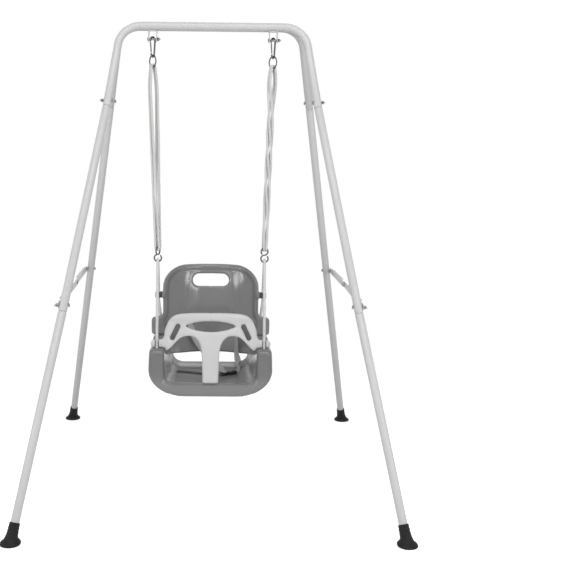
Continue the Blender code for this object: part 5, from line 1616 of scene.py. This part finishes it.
def makeRightStrap():
    behind, slot = slotPlaces(1)
    plugEnd = buckleMouth + buckleAlong * (harness["plug"] + 2 * harness["gap"] + harness["thick"] / 2)
    plugEnd.z = strapRest + 0.001
    route = [(behind, right), (slot, right)]
    for across, ahead, down, turn in harness["rightDrop"]:
        route.append((slot + Vector((across, -ahead, -down)), flatWay(math.radians(turn))))
    for across, ahead, rise, turn in harness["rightRest"]:
        place = Vector((slot.x + across, slot.y - ahead, strapRest + rise))
        route.append((place, flatWay(math.radians(turn))))
    route.append((plugEnd + buckleAlong * 0.006 + up * 0.0125, flatWay(math.radians(58))))
    route.append((plugEnd + up * 0.0035, buckleAlong))
    start, end = (slot.x, slot.y, slot.z - 0.040), (slot.x, slot.y, strapRest + 0.024)
    bend = {"body": "plug", "start": start, "end": end}
    strap = strapSkin(route, harness["width"])
    addPiece("shoulder_strap_right", strap, "harness_strap_right", harness["smoothAngle"], bend)


def makeLeftStrap():
    behind, slot = slotPlaces(-1)
    near = buckleMouth - buckleAlong * harness["socket"] * 0.80
    near.z = buckleMouth.z + harness["buckleHeight"] / 2 + harness["gap"] + harness["thick"] / 2
    route = [(behind, -right), (slot, -right)]
    for across, ahead, down, face in harness["leftDrop"]:
        route.append((slot + Vector((across, -ahead, -down)), face))
    route.append((Vector((slot.x + 0.078, slot.y - 0.052, near.z + 0.018)), (-0.3, -0.7, 1)))
    route.append((Vector((near.x - 0.014, 0.018, near.z + 0.006)), (-0.3, -0.4, 1)))
    route += [(near, up), (near + Vector((0.008, -0.006, 0.0)), up)]
    strap = strapSkin(route, harness["width"])
    addPiece("shoulder_strap_left", strap, "harness_strap_left", harness["smoothAngle"])


def makeLapStrap():
    socketEnd = buckleMouth - buckleAlong * (harness["socket"] + harness["gap"])
    route = []
    for x, y in harness["lap"]:
        under = panHeight(y + harness["lapWidth"] * 0.6)
        route.append((Vector((x, y, under + harness["gap"] + harness["thick"])), up))
    for short, rise in ((0.014, 0.0020), (0.0, 0.0030)):
        route.append((Vector((socketEnd.x, socketEnd.y, strapRest + rise)) - buckleAlong * short, up))
    addPiece("lap_strap_woven", strapSkin(route, harness["lapWidth"]), "lap_strap", harness["smoothAngle"])


# flat outline in the buckle's own directions, given depth and rounded edges
def buckleBlock(outline, low, high, width):
    bm = bmesh.new()
    face = bm.faces.new([bm.verts.new((a, b, low)) for a, b in outline])
    grown = bmesh.ops.extrude_face_region(bm, geom=[face])["geom"]
    raised = [v for v in grown if isinstance(v, bmesh.types.BMVert)]
    bmesh.ops.translate(bm, vec=(0, 0, high - low), verts=raised)
    bmesh.ops.recalc_face_normals(bm, faces=bm.faces)
    roundEdges(bm, 25, width, 3)
    return bm


def addBucklePart(name, node, blocks):
    place = Matrix((buckleAlong, up.cross(buckleAlong), up)).transposed().to_4x4()
    place.translation = buckleMouth
    whole = joined([buckleBlock(*block) for block in blocks])
    bmesh.ops.transform(whole, matrix=place, verts=whole.verts)
    addPiece(name, whole, node, 35)


def oblong(low, high, half):
    return [(low, -half), (low, half), (high, half), (high, -half)]


# housing with a waist at each side and a bar over its strap end
def makeSocket():
    long, half, high = harness["socket"], harness["buckleWidth"] / 2, harness["buckleHeight"] / 2
    outline = [(0, -half * 0.92), (0, half * 0.92), (-0.003, half), (-0.008, half)]
    outline += [(-0.010, half * 0.66), (-0.017, half * 0.66), (-0.0195, half)]
    outline += [(-long + 0.003, half), (-long, half * 0.8)]
    outline += [(a, -b) for a, b in reversed(outline[2:])]
    bar = oblong(-long + 0.0015, -long + 0.0045, half * 0.62)
    blocks = [(outline, -high, high, 0.0012), (bar, high - 0.0002, high + 0.0005, 0.0003)]
    addBucklePart("buckle_housing", "buckle_socket", blocks)


# base with a bar on it, a tongue in the middle and a springy prong at each side
def makePlug():
    gap, plug, high = harness["gap"], harness["plug"], harness["buckleHeight"] / 2 * 0.86
    half = harness["buckleWidth"] / 2 * 0.94
    base = [(gap, -half), (gap, half), (gap + 0.010, half), (gap + plug, half * 0.72)]
    base += [(gap + plug, -half * 0.72), (gap + 0.010, -half)]
    tongue = [(-0.0175, -0.0022), (-0.0175, 0.0022), (0.001, 0.0026), (0.001, -0.0026)]
    prong = [(0.001, 0.0050), (0.001, 0.0076), (-0.009, 0.0080), (-0.0115, 0.0098)]
    prong += [(-0.0150, 0.0094), (-0.0160, 0.0060), (-0.010, 0.0056)]
    bar = oblong(gap + 0.0095, gap + 0.0115, 0.0095)
    blocks = [(base, -high, high, 0.001), (tongue, -0.0016, 0.0016, 0.0004)]
    blocks.append(([(a, -b) for a, b in prong], -0.0018, 0.0018, 0.0005))
    blocks.append((prong[::-1], -0.0018, 0.0018, 0.0005))
    blocks.append((bar, high - 0.0002, high + 0.0006, 0.0003))
    addBucklePart("buckle_prongs", "buckle_plug", blocks)


makeRightStrap()
makeLeftStrap()
makeLapStrap()
makeSocket()
makePlug()
print("harness made")

# Plain floor and soft studio light; a pale floor that reads white to the camera and keeps a faint shadow
studio = {
    "white": (1, 1, 1),
    "floorColour": (0.86, 0.86, 0.86),
    "floorSize": 20,
    "floorDrop": 0.0004,
    "floorLift": 0.58,
    "floorFade": (1.1, 2.1),
    "worldLight": 0.44,
    "lamps": [
        {"place": (1.51, -1.69, 0.84), "aim": (-0.05, 0.12, 0.55), "size": (1.1, 0.24), "power": 7},
        {"place": (-1.78, -1.06, 0.74), "aim": (0.08, 0.12, 0.56), "size": (0.65, 0.22), "power": 4},
        {"place": (-2.0, -2.8, 1.7), "aim": (0, 0, 0.6), "size": (1.6, 1.4), "power": 12},
        {"place": (2.0, -2.8, 1.7), "aim": (0, 0, 0.6), "size": (1.6, 1.4), "power": 9},
        {"place": (0.0, -2.0, 3.0), "aim": (0, 0, 0.3), "size": (2.4, 1.2), "power": 35},
    ],
}


def makeFloor():
    bm = bmesh.new()
    bmesh.ops.create_grid(bm, x_segments=1, y_segments=1, size=studio["floorSize"])
    bmesh.ops.translate(bm, vec=(0, 0, -studio["floorDrop"]), verts=bm.verts)
    ground = looseObject("floor", bm)
    finish = Finish("studioFloor", {"Base Color": studio["floorColour"], "Roughness": 0.9})
    sight = finish.sight()
    glow = {"Color": studio["white"], "Strength": sight * studio["floorLift"]}
    lift = finish.node("ShaderNodeEmission", None, glow)
    near = finish.node("ShaderNodeAddShader", None, {0: Signal(finish, finish.shader.outputs[0]), 1: lift})
    white = finish.node("ShaderNodeEmission", None, {"Color": studio["white"], "Strength": 1.0})
    reach = finish.node("ShaderNodeVectorMath", {"operation": "LENGTH"}, {0: finish.place}, output="Value")
    away = reach.ramp(*studio["floorFade"])
    both = finish.node("ShaderNodeMixShader", None, {0: away * sight, 1: near, 2: white})
    finish.feed(finish.tree.nodes["Material Output"].inputs["Surface"], both)
    ground.data.materials.append(finish.material)


# the sky is white where it is seen and dimmer where it lights
def makeSky():
    world = bpy.context.scene.world or bpy.data.worlds.new("studio")
    bpy.context.scene.world = world
    world.use_nodes = True
    sky = NodeTree(world.node_tree)
    background = sky.tree.nodes["Background"]
    levels = {"Value": sky.sight(), "To Min": studio["worldLight"], "To Max": 1.0}
    sky.feed(background.inputs["Color"], studio["white"])
    sky.feed(background.inputs["Strength"], sky.node("ShaderNodeMapRange", None, levels))


def makeLamps():
    for i, lamp in enumerate(studio["lamps"]):
        light = bpy.data.lights.new(f"lamp{i}", "AREA")
        light.shape = "RECTANGLE"
        light.size, light.size_y = lamp["size"]
        light.energy = lamp["power"]
        holder = bpy.data.objects.new(f"lamp{i}", light)
        holder.location = lamp["place"]
        aim = Vector(lamp["aim"]) - Vector(lamp["place"])
        holder.rotation_euler = aim.to_track_quat("-Z", "Y").to_euler()
        bpy.context.scene.collection.objects.link(holder)


makeFloor()
makeSky()
makeLamps()
print("studio made")
